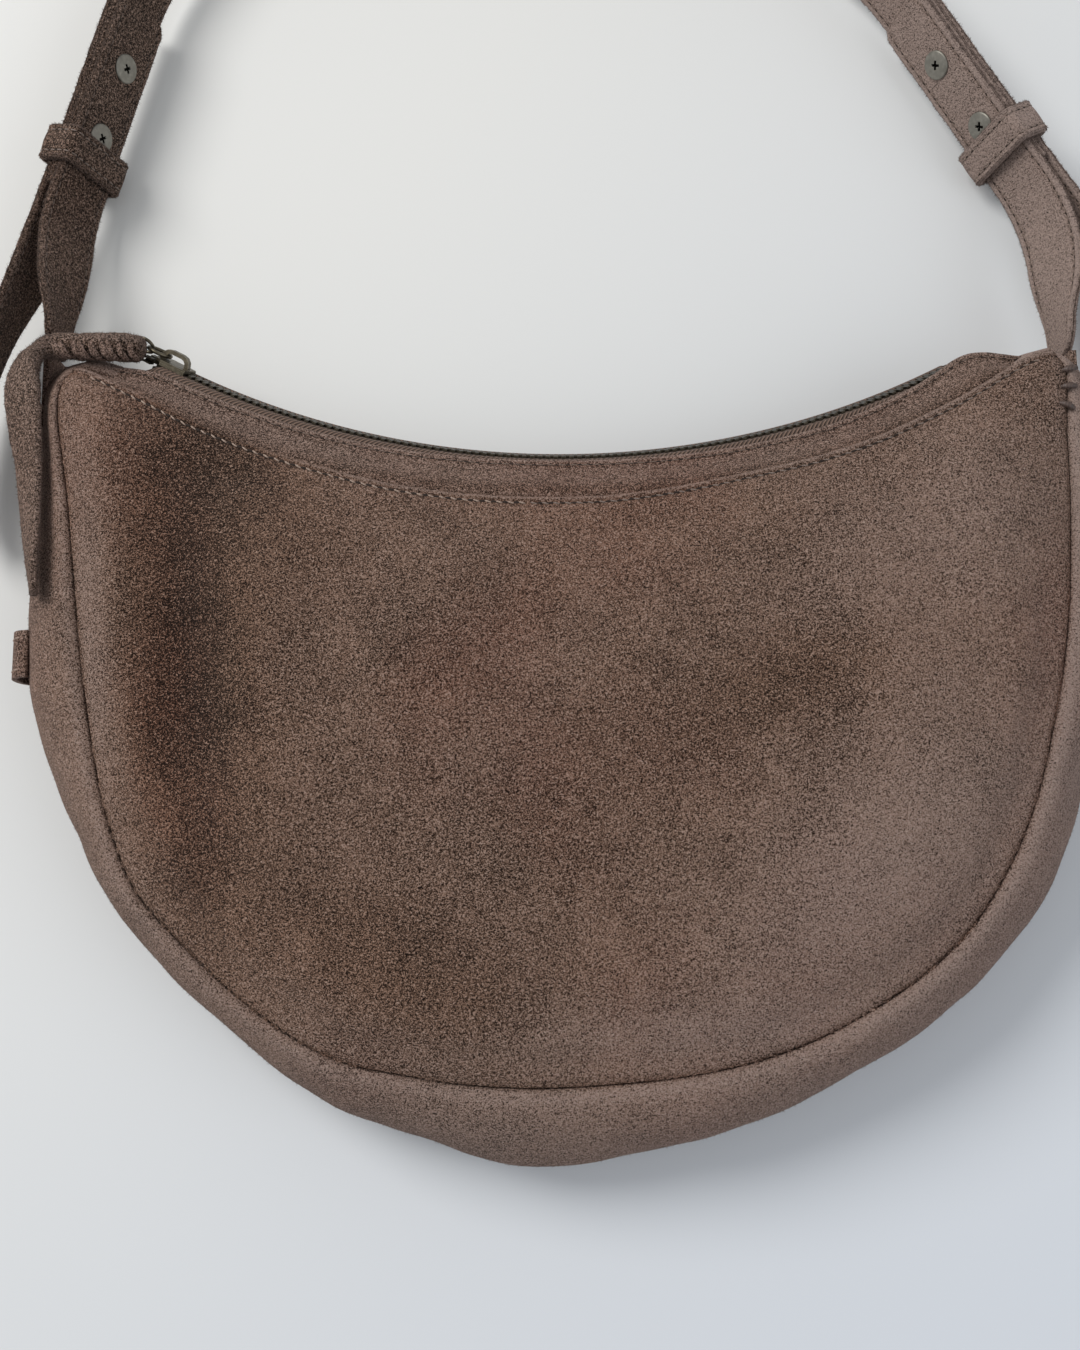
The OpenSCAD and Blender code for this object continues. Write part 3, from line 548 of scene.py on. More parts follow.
# %% Measured lines of the body
ZIP_R, ZIP_Y = 280.0, 373.0
FRONT_SEAM = [(-152.5, 118.6), (-157.0, 113.5), (-158.2, 104), (-156.4, 92), (-153.6, 75),
              (-151.2, 56), (-149.2, 40), (-146.2, 19), (-142.4, -2), (-137.5, -22),
              (-128.5, -44), (-115, -59.5), (-98, -75), (-80, -88), (-64, -95.6),
              (-48, -98.8), (-30, -101.6), (-8, -102.8), (16, -101.6), (38, -99.2),
              (59, -94.6), (80, -86.6), (104, -72.6), (122, -56.5), (135, -37),
              (143.5, -18), (149.5, 3), (153.8, 22), (156.8, 44), (158.6, 75),
              (158.8, 98), (159.6, 110), (159.4, 118), (155.8, 124.2)]
WIDEST = [(-150.5, 126.3), (-160.5, 124), (-167.5, 116), (-169, 104), (-168.8, 88),
          (-169, 62), (-169.2, 41), (-168.4, 22), (-165.4, 7), (-160.2, -9), (-151, -29.5),
          (-141.5, -47), (-127.5, -63.6), (-111.5, -79), (-92.5, -94.5), (-66, -110.6),
          (-44, -119.4), (-28, -124.8), (-14, -127.8), (2, -128.2), (20, -125.2),
          (48, -117.6), (70, -111), (93, -99.4), (120, -79.4), (138, -62), (152.5, -44.5),
          (161.5, -23), (167.5, -2), (172.5, 22), (175, 46), (175.6, 74), (175, 98),
          (172.6, 114), (165, 125), (153.5, 127.6)]
BACK_SEAM = [(-149, 119), (-160, 116), (-164.5, 106), (-165, 88), (-165, 62),
             (-164, 40), (-160, 12), (-153, -14), (-143, -36), (-128, -57), (-108, -77),
             (-82, -95), (-52, -109), (-26, -115.6), (0, -117), (30, -115), (60, -107),
             (90, -93), (116, -74), (138, -50), (152, -22), (160.5, 8), (165, 40),
             (166, 70), (166, 96), (164, 112), (150, 120)]
FOLD = [FRONT_SEAM[0], (-146.5, 116.4), (-138, 112.4), (-127, 107), (-116, 101.2),
        (-100.7, 94.6), (-86.8, 89.6), (-71.7, 85), (-56.7, 81.2), (-41.7, 78.6), (-27, 77),
        (-10, 76.2), (6, 76.3), (20.9, 77.3), (40.5, 80.4), (60.6, 84.7), (80.7, 89.5),
        (100.9, 96.6), (121, 106.2), (133, 113), (141.5, 118.4), (149.5, 122.4),
        (155.8, 124.2)]
SEAM_Z, WIDE_Z, BACK_Z = 42.4, 20.5, 1.2


def on_zip_curve(radius, degrees, z):
    """Points on a curve about the zip's centre, from left to right."""
    a = np.radians(degrees)
    return np.stack([radius * np.sin(a), ZIP_Y - radius * np.cos(a), z + 0 * a], 1)


fold_line = smooth_line(FOLD, 400)
seam_line = smooth_line(FRONT_SEAM, 900)
print("seam", round(float(run_along(seam_line)[-1])), "mm")

# %% [markdown]
# ### Front panel
# The panel is one piece of suede pushed up by air and a little stuffing. Its grid is stretched
# between four sides: the fold above, and three parts of the seam. That keeps rows running the
# way a hand would smooth them. The height is a crown that rises quickly from the seam and then
# levels off, with the dents of soft leather pressed into it: the long hollow down the left, a
# shallow one above the bottom, and some low waves.

# %% Front panel form
CROWN, NEEDLE_IN = 11.0, 2.3
SUEDE_THICK = 1.8
ACROSS_COUNT, DOWN_COUNT = 190, 120
LEFT_SHARE, RIGHT_SHARE = 0.325, 0.675
# dents and swells: middle x, y, half widths along and across, turn in degrees, depth
DENTS = [(-117, 38, 62, 13, 97, -5.2), (-104, 88, 26, 12, 110, -2.2),
         (-141, 62, 60, 7, 95, 2.0), (-60, -58, 46, 14, 152, -2.6),
         (-88, -30, 40, 12, 120, 1.6), (52, 20, 40, 20, 60, -1.8),
         (118, 40, 30, 18, 100, -1.5), (10, -20, 60, 24, 10, 1.4),
         (84, -38, 44, 14, 40, 1.3), (20, -82, 60, 9, 2, -1.6),
         (30, 62, 60, 10, 172, -1.2), (-30, 40, 36, 20, 30, 1.0)]
# painted shade in the dents, above all the long hollow down the left, and painted light and sheen on the
# ridge beside it and towards the right, over the nap's own tone; in the same form, with a share of the
# full mask
SHADE_AND_SHEEN_AREAS = [(-112, 32, 78, 17, 95, -1.9), (-96, 84, 30, 14, 120, -0.8),
             (-144, 30, 60, 8, 92, 0.35), (104, 50, 46, 34, 80, 0.4), (92, -42, 66, 34, 40, 0.75),
             (128, 78, 34, 20, 100, 0.3), (-52, -66, 40, 16, 150, -0.6),
             (70, 18, 30, 12, 20, -0.6), (-20, 8, 46, 22, 60, 0.12), (20, -86, 60, 9, 3, 0.4)]
# warmer patches of the leather's own tone; the last lies over the long hollow on the left and warms the
# painted shade there
WARM_AREAS = [(-32, 26, 34, 20, 40, 1.0), (-4, -20, 30, 18, 100, 0.9), (24, 50, 30, 12, 170, 0.4),
              (-114, 10, 64, 18, 95, 1.1)]


def coons(top, low, left, right, across, down):
    """A grid stretched between four edge lines."""
    s, v = across[None, :, None], down[:, None, None]
    corners = ((1 - s) * (1 - v) * top[0] + s * (1 - v) * top[-1]
               + (1 - s) * v * low[0] + s * v * low[-1])
    return ((1 - v) * top[None] + v * low[None] + (1 - s) * left[:, None]
            + s * right[:, None] - corners)


def areas_at(x, y, areas):
    """The sum of soft oval areas at each place."""
    total = 0 * x
    for cx, cy, long, short, turn, depth in areas:
        a = math.radians(turn)
        u = (x - cx) * math.cos(a) + (y - cy) * math.sin(a)
        w = (y - cy) * math.cos(a) - (x - cx) * math.sin(a)
        total = total + depth * np.exp(-(u / long) ** 2 - (w / short) ** 2)
    return total


def plan_between(top, seam, across, down, crowd=lambda t: t):
    """A grid in plan between a top line and three parts of the seam below it."""
    left, right = int(len(seam) * LEFT_SHARE), int(len(seam) * RIGHT_SHARE)
    return coons(even_steps(top, across, crowd), even_steps(seam[left:right], across, crowd),
                 even_steps(seam[:left + 1], down, crowd),
                 even_steps(seam[right - 1:][::-1], down, crowd),
                 crowd(np.linspace(0, 1, across)), crowd(np.linspace(0, 1, down)))


def panel_plan(across, down):
    """The panel's grid in plan, closer together by the fold and the seams."""
    crowd = lambda t: 0.5 - 0.5 * np.cos(np.pi * t) * (1 - 0.35 * np.sin(np.pi * t) ** 2)
    return plan_between(fold_line, seam_line, across, down, crowd)


def panel_height(plan):
    """The height of each point in plan, with its distance to the seam and to the fold."""
    flat = plan.reshape(-1, 2)
    to_seam, to_fold = distance_to(seam_line, flat), distance_to(fold_line, flat)
    near = np.minimum(to_seam, to_fold * 1.25)
    rise = CROWN * (1 - np.exp(-(near / 30) ** 1.25))
    soft = np.clip(near / 16, 0, 1)
    low = areas_at(flat[:, 0], flat[:, 1], DENTS) * soft
    low += wander(np.c_[flat, 0 * near], 46, 1.6, 3.1) * soft
    low += wander(np.c_[flat, 0 * near], 17, 0.45, 8.4) * soft
    return SEAM_Z + rise + low, to_seam, to_fold


plan = panel_plan(ACROSS_COUNT, DOWN_COUNT)
height, to_seam, to_fold = panel_height(plan)
height = height - 1.7 * np.exp(-to_seam / 1.5) - 0.8 * bell(to_fold, 0, 0.6)
height = height - 0.55 * bell(to_fold, NEEDLE_IN, 0.75) + 0.5 * bell(to_fold, 0.9, 0.7)
panel_grid = np.concatenate([plan, height.reshape(plan.shape[:2] + (1,))], 2)
print("front panel", panel_grid.shape[:2], "highest", round(float(height.max()), 1), "mm")

# %% [markdown]
# That form is what a pattern maker draws. Real leather is a little too large for it and settles
# in soft waves. So a coarse copy of the panel becomes cloth: its border is pinned, it is made
# a hundredth larger, and air presses from inside for twenty frames. The change it finds, held
# within three millimetres and fading out at the seams, is spread over the fine grid.

# %% Settle the panel
SETTLE_ACROSS, SETTLE_DOWN, MOST = 96, 60, 3.0
LAST_FRAME, SMOOTHINGS = 20, 6
# the change is held this near the border, and grows over this much more
HELD, GROWS = 3.0, 9


def settled_change():
    """How far each point of a coarse panel moves when it settles as cloth."""
    coarse = panel_plan(SETTLE_ACROSS, SETTLE_DOWN)
    z = panel_height(coarse)[0].reshape(coarse.shape[:2] + (1,))
    grid = np.concatenate([coarse, z], 2)
    mesh = bpy.data.meshes.new("settling")
    mesh.from_pydata([tuple(p) for p in grid.reshape(-1, 3) * MM], [],
                     grid_faces(SETTLE_DOWN, SETTLE_ACROSS, flip=True))
    panel = bpy.data.objects.new("settling", mesh)
    bpy.context.scene.collection.objects.link(panel)
    border = [i * SETTLE_ACROSS + j for i in range(SETTLE_DOWN) for j in range(SETTLE_ACROSS)
              if i in (0, SETTLE_DOWN - 1) or j in (0, SETTLE_ACROSS - 1)]
    panel.vertex_groups.new(name="sewn").add(border, 1.0, "REPLACE")
    cloth = panel.modifiers.new("settle", "CLOTH").settings
    cloth.vertex_group_mass = "sewn"
    cloth.quality = 6
    cloth.mass = 0.4
    cloth.tension_stiffness = cloth.compression_stiffness = 20.0
    cloth.bending_stiffness = 4.0
    cloth.shrink_min = -0.012
    cloth.use_pressure = True
    cloth.uniform_pressure_force = 4.0
    cloth.effector_weights.gravity = 0.0
    for frame_number in range(1, LAST_FRAME + 1):
        bpy.context.scene.frame_set(frame_number)
    held = panel.evaluated_get(bpy.context.evaluated_depsgraph_get()).data
    now = np.zeros(len(mesh.vertices) * 3)
    held.vertices.foreach_get("co", now)
    bpy.context.scene.frame_set(1)
    bpy.data.objects.remove(panel)
    bpy.data.meshes.remove(mesh)
    change = now.reshape(grid.shape) / MM - grid
    for _ in range(SMOOTHINGS):
        inner = (change[:-2, 1:-1] + change[2:, 1:-1] + change[1:-1, :-2] + change[1:-1, 2:]) / 4
        change[1:-1, 1:-1] = (change[1:-1, 1:-1] + inner) / 2
    size = np.linalg.norm(change, axis=2, keepdims=True)
    return change * np.minimum(1.0, MOST / np.maximum(size, 1e-6))


def spread(change, rows, columns):
    """A coarse grid of changes as a finer grid, by straight steps between points."""
    for count in (rows, columns):
        old = np.arange(len(change))
        at = np.linspace(0, old[-1], count)
        change = np.stack([[np.interp(at, old, change[:, j, k]) for j in range(change.shape[1])]
                           for k in range(3)], 2)
    return change


change = spread(settled_change(), *panel_grid.shape[:2])
from_border = np.minimum(to_seam, to_fold).reshape(plan.shape[:2] + (1,))
change *= 1 - bell(np.maximum(from_border - HELD, 0), 0, GROWS)
panel_grid += change
print("settled by up to", round(float(np.linalg.norm(change, axis=2).max()), 2), "mm")

# %% [markdown]
# The mask is pale where the fold is rubbed. It is dark in the seams and in the line of the
# needle, a painted shade in those grooves. Its soft areas are partly the nap's own tone and
# partly painted: shade in the dents, above all the long hollow down the left, and light and
# sheen on the ridge beside it and towards the right.

# %% Front panel
flat = plan.reshape(-1, 2)
panel_wear_shade_sheen = (0.55 * bell(to_fold, 0.8, 0.7) + 0.35 * np.exp(-to_seam / 12)
             - 0.8 * np.exp(-to_seam / 0.9) - 0.35 * bell(to_fold, NEEDLE_IN, 0.6)
             + areas_at(flat[:, 0], flat[:, 1], SHADE_AND_SHEEN_AREAS))
front = sheet_of("front_panel_suede", panel_grid, SUEDE_THICK, "bag", body_suede,
                 ["front_panel"], panel_wear_shade_sheen)
paint_number(front, np.tile(areas_at(flat[:, 0], flat[:, 1], WARM_AREAS), 2), "warm_tint")
print("front panel, nap from", round(float(panel_wear_shade_sheen.min()), 1), "to", round(float(panel_wear_shade_sheen.max()), 1))

# %% [markdown]
# ### Gusset
# The gusset is the strip that gives the bag its depth. It starts in the groove of the front
# seam, puffs over it, bulges out to its widest line and tucks in under the bag. Each station
# round the bag gets one smooth section through those lines. Slow waves along it, strongest
# between its two seams, stop it from looking inflated. At both top corners the strip turns in
# under the zip's bands, lower than the rest, which closes the corner.

# %% Gusset form
AROUND, SECTION = 420, 30
# stations that turn in at each end, and how far the corners drop
TURNED_IN, CORNER_DROP = 15, 7.5
seam_ends = [(-137, 113.5), (-145.5, 117.2)], [(147, 120.4), (139.5, 116.8)]
wide_ends = [(-136, 121.2), (-143, 124.4)], [(147, 127.2), (140, 125.2)]
back_ends = [(-133, 117), (-141, 118.6)], [(143, 119.6), (135, 118)]


def with_ends(line, ends, body_count):
    """A line round the bag, with short stretches that turn in at both its ends."""
    left = smooth_line(ends[0] + line[:2], TURNED_IN * 2)[:TURNED_IN]
    right = smooth_line(line[-2:] + ends[1], TURNED_IN * 2)[-TURNED_IN:]
    return np.vstack([left, smooth_line(line, body_count), right])


seam_at = with_ends(FRONT_SEAM, seam_ends, AROUND)
wide_at = with_ends(WIDEST, wide_ends, AROUND)
back_at = with_ends(BACK_SEAM, back_ends, AROUND)
AROUND += 2 * TURNED_IN
in_turn = np.array([eased(1 - min(i / (TURNED_IN * 2.2), (AROUND - 1 - i) / (TURNED_IN * 1.5)))
                    for i in range(AROUND)])
# share of the way from seam to widest line, and height, down the front half of the section
OVER = [(0.0, SEAM_Z - 2.6), (0.07, SEAM_Z - 1.0), (0.17, SEAM_Z - 0.3), (0.36, SEAM_Z - 1.6),
        (0.6, SEAM_Z - 5.4), (0.82, SEAM_Z - 11.0), (0.96, WIDE_Z + 4.5), (1.0, WIDE_Z)]
UNDER = [(0.96, WIDE_Z - 7), (0.72, 6.5), (0.35, 2.6), (0.0, BACK_Z)]


def gusset_section(seam, wide, back, turned):
    """One smooth section from the seam over the widest line to the back."""
    over = [np.append(seam + (wide - seam) * k, z - CORNER_DROP * turned * (1 - k * k)) for k, z in OVER]
    under = [np.append(back + (wide - back) * k, z) for k, z in UNDER]
    return smooth_line(over + under, SECTION, fine=10)


gusset_grid = np.array([gusset_section(*lines)
                        for lines in zip(seam_at, wide_at, back_at, in_turn)])
free = np.sin(np.linspace(0, np.pi, SECTION)) ** 0.7
swell = wander(gusset_grid, 34, 2.0, 5.5) + wander(gusset_grid, 13, 0.5, 2.2)
swell = swell.reshape(AROUND, SECTION) * free[None]
gusset_grid = gusset_grid + grid_normals(gusset_grid) * -swell[..., None]
gusset_grid[..., 2] = np.maximum(gusset_grid[..., 2], 0.35)
# the gusset's mask: paler than the panel; paler still towards the right, a painted sheen; paler on the
# roll just past the seam, where it is rubbed; and dark at the seam itself, a painted shade in the groove
gusset_wear_shade_sheen = 0.55 + 0.3 * np.clip(gusset_grid[..., 0] / 160, -1, 1)
steps_in = np.linalg.norm(gusset_grid - gusset_grid[:, :1], axis=2)
gusset_wear_shade_sheen += 0.4 * bell(steps_in, 3.2, 2.4) - 0.9 * np.exp(-steps_in / 0.9)
sheet_of("gusset_suede", gusset_grid, SUEDE_THICK, "bag", body_suede, ["gusset"], gusset_wear_shade_sheen,
         out=-1.0)
print("gusset", gusset_grid.shape[:2])
RIM = slice(9, 20)
fuzz("gusset_fuzz", gusset_grid[:, RIM], grid_normals(gusset_grid)[:, RIM], "bag", 10000,
     long=0.8, seed=3)

# %% [markdown]
# ### Back panel
# The back lies flat on the table, so it is a level sheet with the same outline as the back
# seam. Its edge lifts a little into the seam, and from behind it shows its own low waves.

# %% Back panel form
BACK_ACROSS, BACK_DOWN, BACK_THICK = 90, 50, 1.5
back_top = on_zip_curve(286.2, np.linspace(-28.0, 28.0, 60), 0)[:, :2]
back_fold = smooth_line(np.vstack([[BACK_SEAM[0]], back_top[1:-1:4], [BACK_SEAM[-1]]]), 400)
back_line = smooth_line(BACK_SEAM, 900)
back_plan = plan_between(back_fold, back_line, BACK_ACROSS, BACK_DOWN)
flat = back_plan.reshape(-1, 2)
in_from_edge = np.minimum(distance_to(back_line, flat), distance_to(back_fold, flat))
back_z = 0.25 + 1.0 * np.exp(-in_from_edge / 1.5)
back_z = back_z + np.abs(wander(np.c_[flat, 0 * back_z], 40, 0.5, 7.7))
back_grid = np.concatenate([back_plan, back_z.reshape(back_plan.shape[:2] + (1,))], 2)
# the back's mask is dark at its edge, a painted shade where it runs into the seam
sheet_of("back_panel_suede", back_grid, BACK_THICK, "bag", body_suede, ["back_panel"],
         -0.8 * np.exp(-in_from_edge / 1.2), out=-1.0)
print("back panel", back_grid.shape[:2])

# %% [markdown]
# ## Along the zip
# Two narrow bands of suede carry the zip. Each is folded at its edge and stitched to the tape.
# The front band slopes from under the front panel down to the teeth, and the back band falls to
# the back panel. Their sections are drawn once, as a radius from the zip's centre and a height,
# and swept along the zip's curve, because that is the curve on which the slider travels. Near
# the corners the bands leave that curve: at the left they run nearly level to the side, and at
# the right they rise over the zip's end in a soft hump. The front band also grows narrower
# there, since the front panel's fold comes up to meet it.

# %% Bands
TAPE_HALF = 28.3
BAND_STEPS = 300
LEAVES_AT = (-25.0, 18.0)
EASE_L, LEVEL_WAY, BAND_REACH = 25.0, 1.0, -158.0
EASE_STEPS = 40
# how far a band reaches past the line it meets, and how a tape's ends move out from the teeth
REACH_UNDER, END_TUCK, END_L = 3.1, 4.5, 1.3
# a soft hump at the right, over the zip's end
RIGHT_END = [(99.5, 107.6), (108, 111.8), (115, 115.8), (121, 119.8), (126, 123.4),
             (131, 125.6), (136.5, 126.1), (142, 125.4), (149, 124.8), (159, 126.2)]


def runout(place, way, level, length, side, reach):
    """Points on from a place, as its way eases to level and runs on to the reach."""
    made, place = [], np.array(place, float)
    while side * place[0] < side * reach:
        turn = math.radians(way + (level - way) * eased(len(made) / EASE_STEPS))
        place = place + length / EASE_STEPS * np.array([side * math.cos(turn), math.sin(turn)])
        made.append(place)
    return made


def band_guide(radius, lift=0.0):
    """The plan line of a band's edge by the teeth, raised in the middle, corner to corner."""
    angles = np.linspace(*LEAVES_AT, 240)
    arc = on_zip_curve(radius - lift * bell(angles, 0, 10), angles, 0)[:, :2]
    left = runout(arc[0], -LEAVES_AT[0], LEVEL_WAY, EASE_L, -1, BAND_REACH)
    right = smooth_line([tuple(arc[-1])] + RIGHT_END, 90)[1:]
    return even_steps(np.vstack([left[::-1], arc, right]), BAND_STEPS)


def swept(section):
    """Rings of a section of (radius, height) swept along the zip's curve."""
    tuck = lambda t: END_TUCK * eased((abs(t) - TAPE_HALF + END_L) / END_L)
    return np.array([[on_zip_curve(r + tuck(t), np.array([t]), z)[0] for r, z in section]
                     for t in np.linspace(-TAPE_HALF, TAPE_HALF, BAND_STEPS)])


def right_of(line):
    """The direction to the right of a line in plan, at each of its points."""
    way = unit(np.gradient(line, axis=0))
    return np.stack([way[:, 1], -way[:, 0]], 1)


def on_guide(section, radius, meets=None, fixed=4.4, sway=0.0, seed=0.0, lift=0.0):
    """Rings of a section along a band's guide, narrowed to stay inside the line it meets."""
    guide = band_guide(radius, lift)
    away = right_of(guide)
    widest = max(r for r, z in section) - radius
    room = np.full(len(guide), widest)
    if meets is not None:
        room = np.minimum(widest, distance_to(meets, guide) + REACH_UNDER)
    rings = []
    for place, out, wide in zip(guide, away, room):
        squeeze = max(0.05, (wide - fixed) / (widest - fixed))
        ring = []
        for r, z in section:
            off = r - radius
            off = off if off < fixed else fixed + (off - fixed) * squeeze
            ring.append((*(place + out * off), z))
        rings.append(ring)
    rings = np.array(rings)
    if sway:
        rings[..., 2] += wander(rings, 11, sway, seed).reshape(rings.shape[:2])
    return rings


FRONT_BAND = [(299.5, 39.9), (297.5, 40.9), (295.4, 40.7), (293.2, 39.2), (291.0, 37.5),
              (288.8, 36.2), (287.2, 35.4), (286.2, 35.15), (285.3, 35.1), (284.6, 34.7),
              (284.3, 34.0), (284.6, 33.3), (285.6, 33.1), (287.4, 33.6), (289.4, 35.0),
              (292.2, 37.0), (295.4, 38.8), (299.5, 38.1)]
band_rings = on_guide(FRONT_BAND, 284.3, fold_line, sway=0.35, seed=1.3, lift=1.5)
# the band's mask: painted shade in a line under the panel's fold and in its stitch line, and paler on
# its folded edge by the teeth, where it is worn
front_band_wear_and_shade = np.tile([0, 0, -0.6, -0.1, 0.1, 0.1, 0.1, -0.3, 0.35, 0.6, 0.3, 0, 0, 0, 0, 0,
                     0, 0], (BAND_STEPS, 1))
tube_of("zip_band_front", band_rings, "bag", band_suede, ["zip_facing_front"], front_band_wear_and_shade)
BACK_BAND = [(287.2, 1.6), (286.4, 2.9), (284.4, 6.6), (282.2, 10.6), (280.4, 13.7),
             (279.9, 14.8), (279.9, 15.8), (280.6, 16.2), (281.3, 15.6), (281.8, 14.4),
             (283.9, 10.6), (286.2, 6.4), (288.4, 2.2)]
back_rings = on_guide(BACK_BAND, 279.9, fixed=9.0, sway=0.2, seed=4.4)
tube_of("zip_band_back", back_rings, "bag", band_suede, ["zip_facing_back"])
print("bands", band_rings.shape[:2], back_rings.shape[:2])

# %% [markdown]
# The tape is woven in a herringbone: ribs that lean one way, then the other, in stripes along
# the tape. The weave must follow the curve, so the tape has a UV map, with millimetres along
# and millimetres across, and the material folds the across number back and forth before it
# draws slanting ribs. That is the whole trick of a herringbone.

# %% Zip tape
ZIP_Z, ZIP_LEAN = 26, math.radians(68)
TAPE_THICK, TAPE_POINTS = 0.7, 26
STRIPE, RIB = 2.1, 1.45


def lean_in(w, n):
    """Radius and height of a point in the zip's leaning section."""
    return (ZIP_R + w * math.cos(ZIP_LEAN) - n * math.sin(ZIP_LEAN),
            ZIP_Z + w * math.sin(ZIP_LEAN) + n * math.cos(ZIP_LEAN))


def woven(name):
    """A herringbone that reads its place from the tape's own UV map."""
    material, tree, skin = new_material(name)
    uv = add(tree, "ShaderNodeUVMap", uv_map="weave").outputs[0]
    parts = add(tree, "ShaderNodeSeparateXYZ", {0: uv})
    folded = maths(tree, "PINGPONG", parts.outputs["Y"], STRIPE)
    slanted = sum_of(tree, parts.outputs["X"], folded, 0.9)
    rib = maths(tree, "SINE", maths(tree, "MULTIPLY", slanted, 2 * math.pi / RIB))
    up = sum_of(tree, 0.5, rib, 0.5)
    place = add(tree, "ShaderNodeTexCoord").outputs["Object"]
    tone = sum_of(tree, up, noise_of(tree, place, 1500.0, 2.0), 0.5)
    mixed = mix_of(tree, maths(tree, "MULTIPLY", tone, 0.7), (0.028, 0.017, 0.012),
                   (0.235, 0.15, 0.11))
    fill(tree, skin, {"Base Color": mixed, "Normal": bumped(tree, up, 1.0, 0.0006),
                      "Roughness": 0.75})
    return material


tape_weave = woven("zip tape, herringbone")
FRONT_TAPE = [lean_in(1.9, 0.35), lean_in(3.2, 0.35), lean_in(4.6, 0.35), lean_in(6.0, 0.38),
              (282.6, 32.4), (284.0, 32.55), (286.2, 32.9), (288.6, 34.6)]
BACK_TAPE = [lean_in(-1.9, 0.35), lean_in(-3.2, 0.35), lean_in(-4.6, 0.35),
             lean_in(-6.0, 0.35), lean_in(-8.0, 0.6), (280.9, 14.6), (282.6, 11.6)]


def tape_of(name, section, node, facing):
    """A strip of tape swept along the zip, with its UV map in millimetres."""
    line = smooth_line(section, TAPE_POINTS)
    normal = unit(np.array([np.gradient(line[:, 1]), -np.gradient(line[:, 0])]).T)
    rings = swept(np.vstack([line, (line + normal * TAPE_THICK * facing)[::-1]]))
    piece = tube_of(name, rings, "bag", tape_weave, [node])
    uv = piece.data.uv_layers.new(name="weave")
    across = run_along(line)
    along = np.radians(np.linspace(-TAPE_HALF, TAPE_HALF, BAND_STEPS)) * ZIP_R
    table = np.stack(np.meshgrid(along, np.concatenate([across, across[::-1]]), indexing="ij"), 2)
    corners = np.zeros(len(piece.data.loops), np.int32)
    piece.data.loops.foreach_get("vertex_index", corners)
    uv.data.foreach_set("uv", table.reshape(-1, 2)[corners].ravel())


tape_of("zip_tape_front_weave", FRONT_TAPE, "zip_tape_front", 1)
tape_of("zip_tape_back_weave", BACK_TAPE, "zip_tape_back", -1)
print("tapes", round(2 * math.radians(TAPE_HALF) * ZIP_R), "mm long")

# %% [markdown]
# Two seams run along the front: one holds the folded edge of the front panel, and one the band
# to the tape. The thread of the first is painted pale on the left, a painted glint where the light
# catches it, and dull further on. The back band has a seam of its own. The lines of the front
# ones are picked off the surfaces already made, so the beads sit in the sunk line that the
# needle pulls.

# %% Seams along the zip


def panel_surface(line):
    """Heights of the front panel's grid under a line in plan, by its nearest points."""
    flat = panel_grid.reshape(-1, 3)
    z = []
    for p in line:
        d = np.linalg.norm(flat[:, :2] - p, axis=1)
        near = np.argsort(d)[:4]
        w = 1 / (d[near] + 0.01)
        z.append((flat[near, 2] * w).sum() / w.sum())
    return np.array(z)


top_seam = (fold_line + right_of(fold_line) * NEEDLE_IN)[6:-6]
top_seam = np.c_[top_seam, panel_surface(top_seam) + 0.05]
up = np.tile([0, -0.25, 1.0], (len(top_seam), 1))
# the seam's thread is painted pale, a painted glint, up to here, and dull after
bright = int(len(top_seam) * 0.46)
seam_of("front_panel_topstitch", [(top_seam[:bright + 1], up[:bright + 1])], "bag", glinting_thread,
        length=2.2, lean=0.25)
seam_of("front_panel_topstitch_dull", [(top_seam[bright:], up[bright:])], "bag", dull_thread,
        length=2.2, thick=0.55, lean=0.25)
band_seam = band_rings[4:-6, 7] + (0, 0, 0.1)
seam_of("zip_band_topstitch", [(band_seam, np.tile([0, 0.2, 1.0], (len(band_seam), 1)))], "bag",
        suede_thread, thick=0.42, length=2.5)
back_band_seam = on_zip_curve(280.9, np.linspace(-27.6, 27.6, 300), 12.8)
seam_of("zip_band_back_topstitch",
        [(back_band_seam, np.tile([0, 0.85, 0.5], (len(back_band_seam), 1)))], "bag", dull_thread)
print("front seam", round(float(run_along(top_seam)[-1])), "mm, band seam",
      round(float(run_along(band_seam)[-1])), "mm")

# %% [markdown]
# ## Metal
# The teeth, slider and rings are brass with a dark antique finish: the plating is brown-black
# in the hollows and worn to a dull gold on the corners that rub. Wear is a shader group, made
# once and used by every metal here: it takes the mesh's own pointed edges from a bevel test,
# breaks them up with noise, and gives a mask. The screws are nickel, turned on a lathe, so they
# carry fine rings.

# %% Metal groups


def build_wear():
    """The wear's node group: a mask of rubbed corners, and patches of grime."""
    number = "NodeSocketFloat"
    group = new_group("edge wear", [("Width", number, 0.0002), ("Patchy", number, 0.5)],
                      [("Worn", number), ("Grime", number)])
    given = group.nodes.new("NodeGroupInput").outputs
    rounded = add(group, "ShaderNodeBevel", {"Radius": given["Width"]}, samples=4)
    plain = add(group, "ShaderNodeNewGeometry")
    match = add(group, "ShaderNodeVectorMath", {0: rounded.outputs[0],
                                                1: plain.outputs["Normal"]},
                operation="DOT_PRODUCT")
    edge = scaled(group, match.outputs["Value"], 0.995, 0.86)
    place = add(group, "ShaderNodeTexCoord").outputs["Object"]
    patch = noise_of(group, place, 700.0, 3.0)
    broken = sum_of(group, edge, maths(group, "SUBTRACT", patch, 0.5), given["Patchy"])
    worn = add(group, "ShaderNodeClamp", {"Value": broken})
    add(group, "NodeGroupOutput", {"Worn": worn.outputs[0], "Grime": patch})
    return group


wear_group = build_wear()
# the screws' turned rings, and the number that marks their slots, far past any real radius
RING_PITCH, SLOT_MARK = 0.42, 40.0


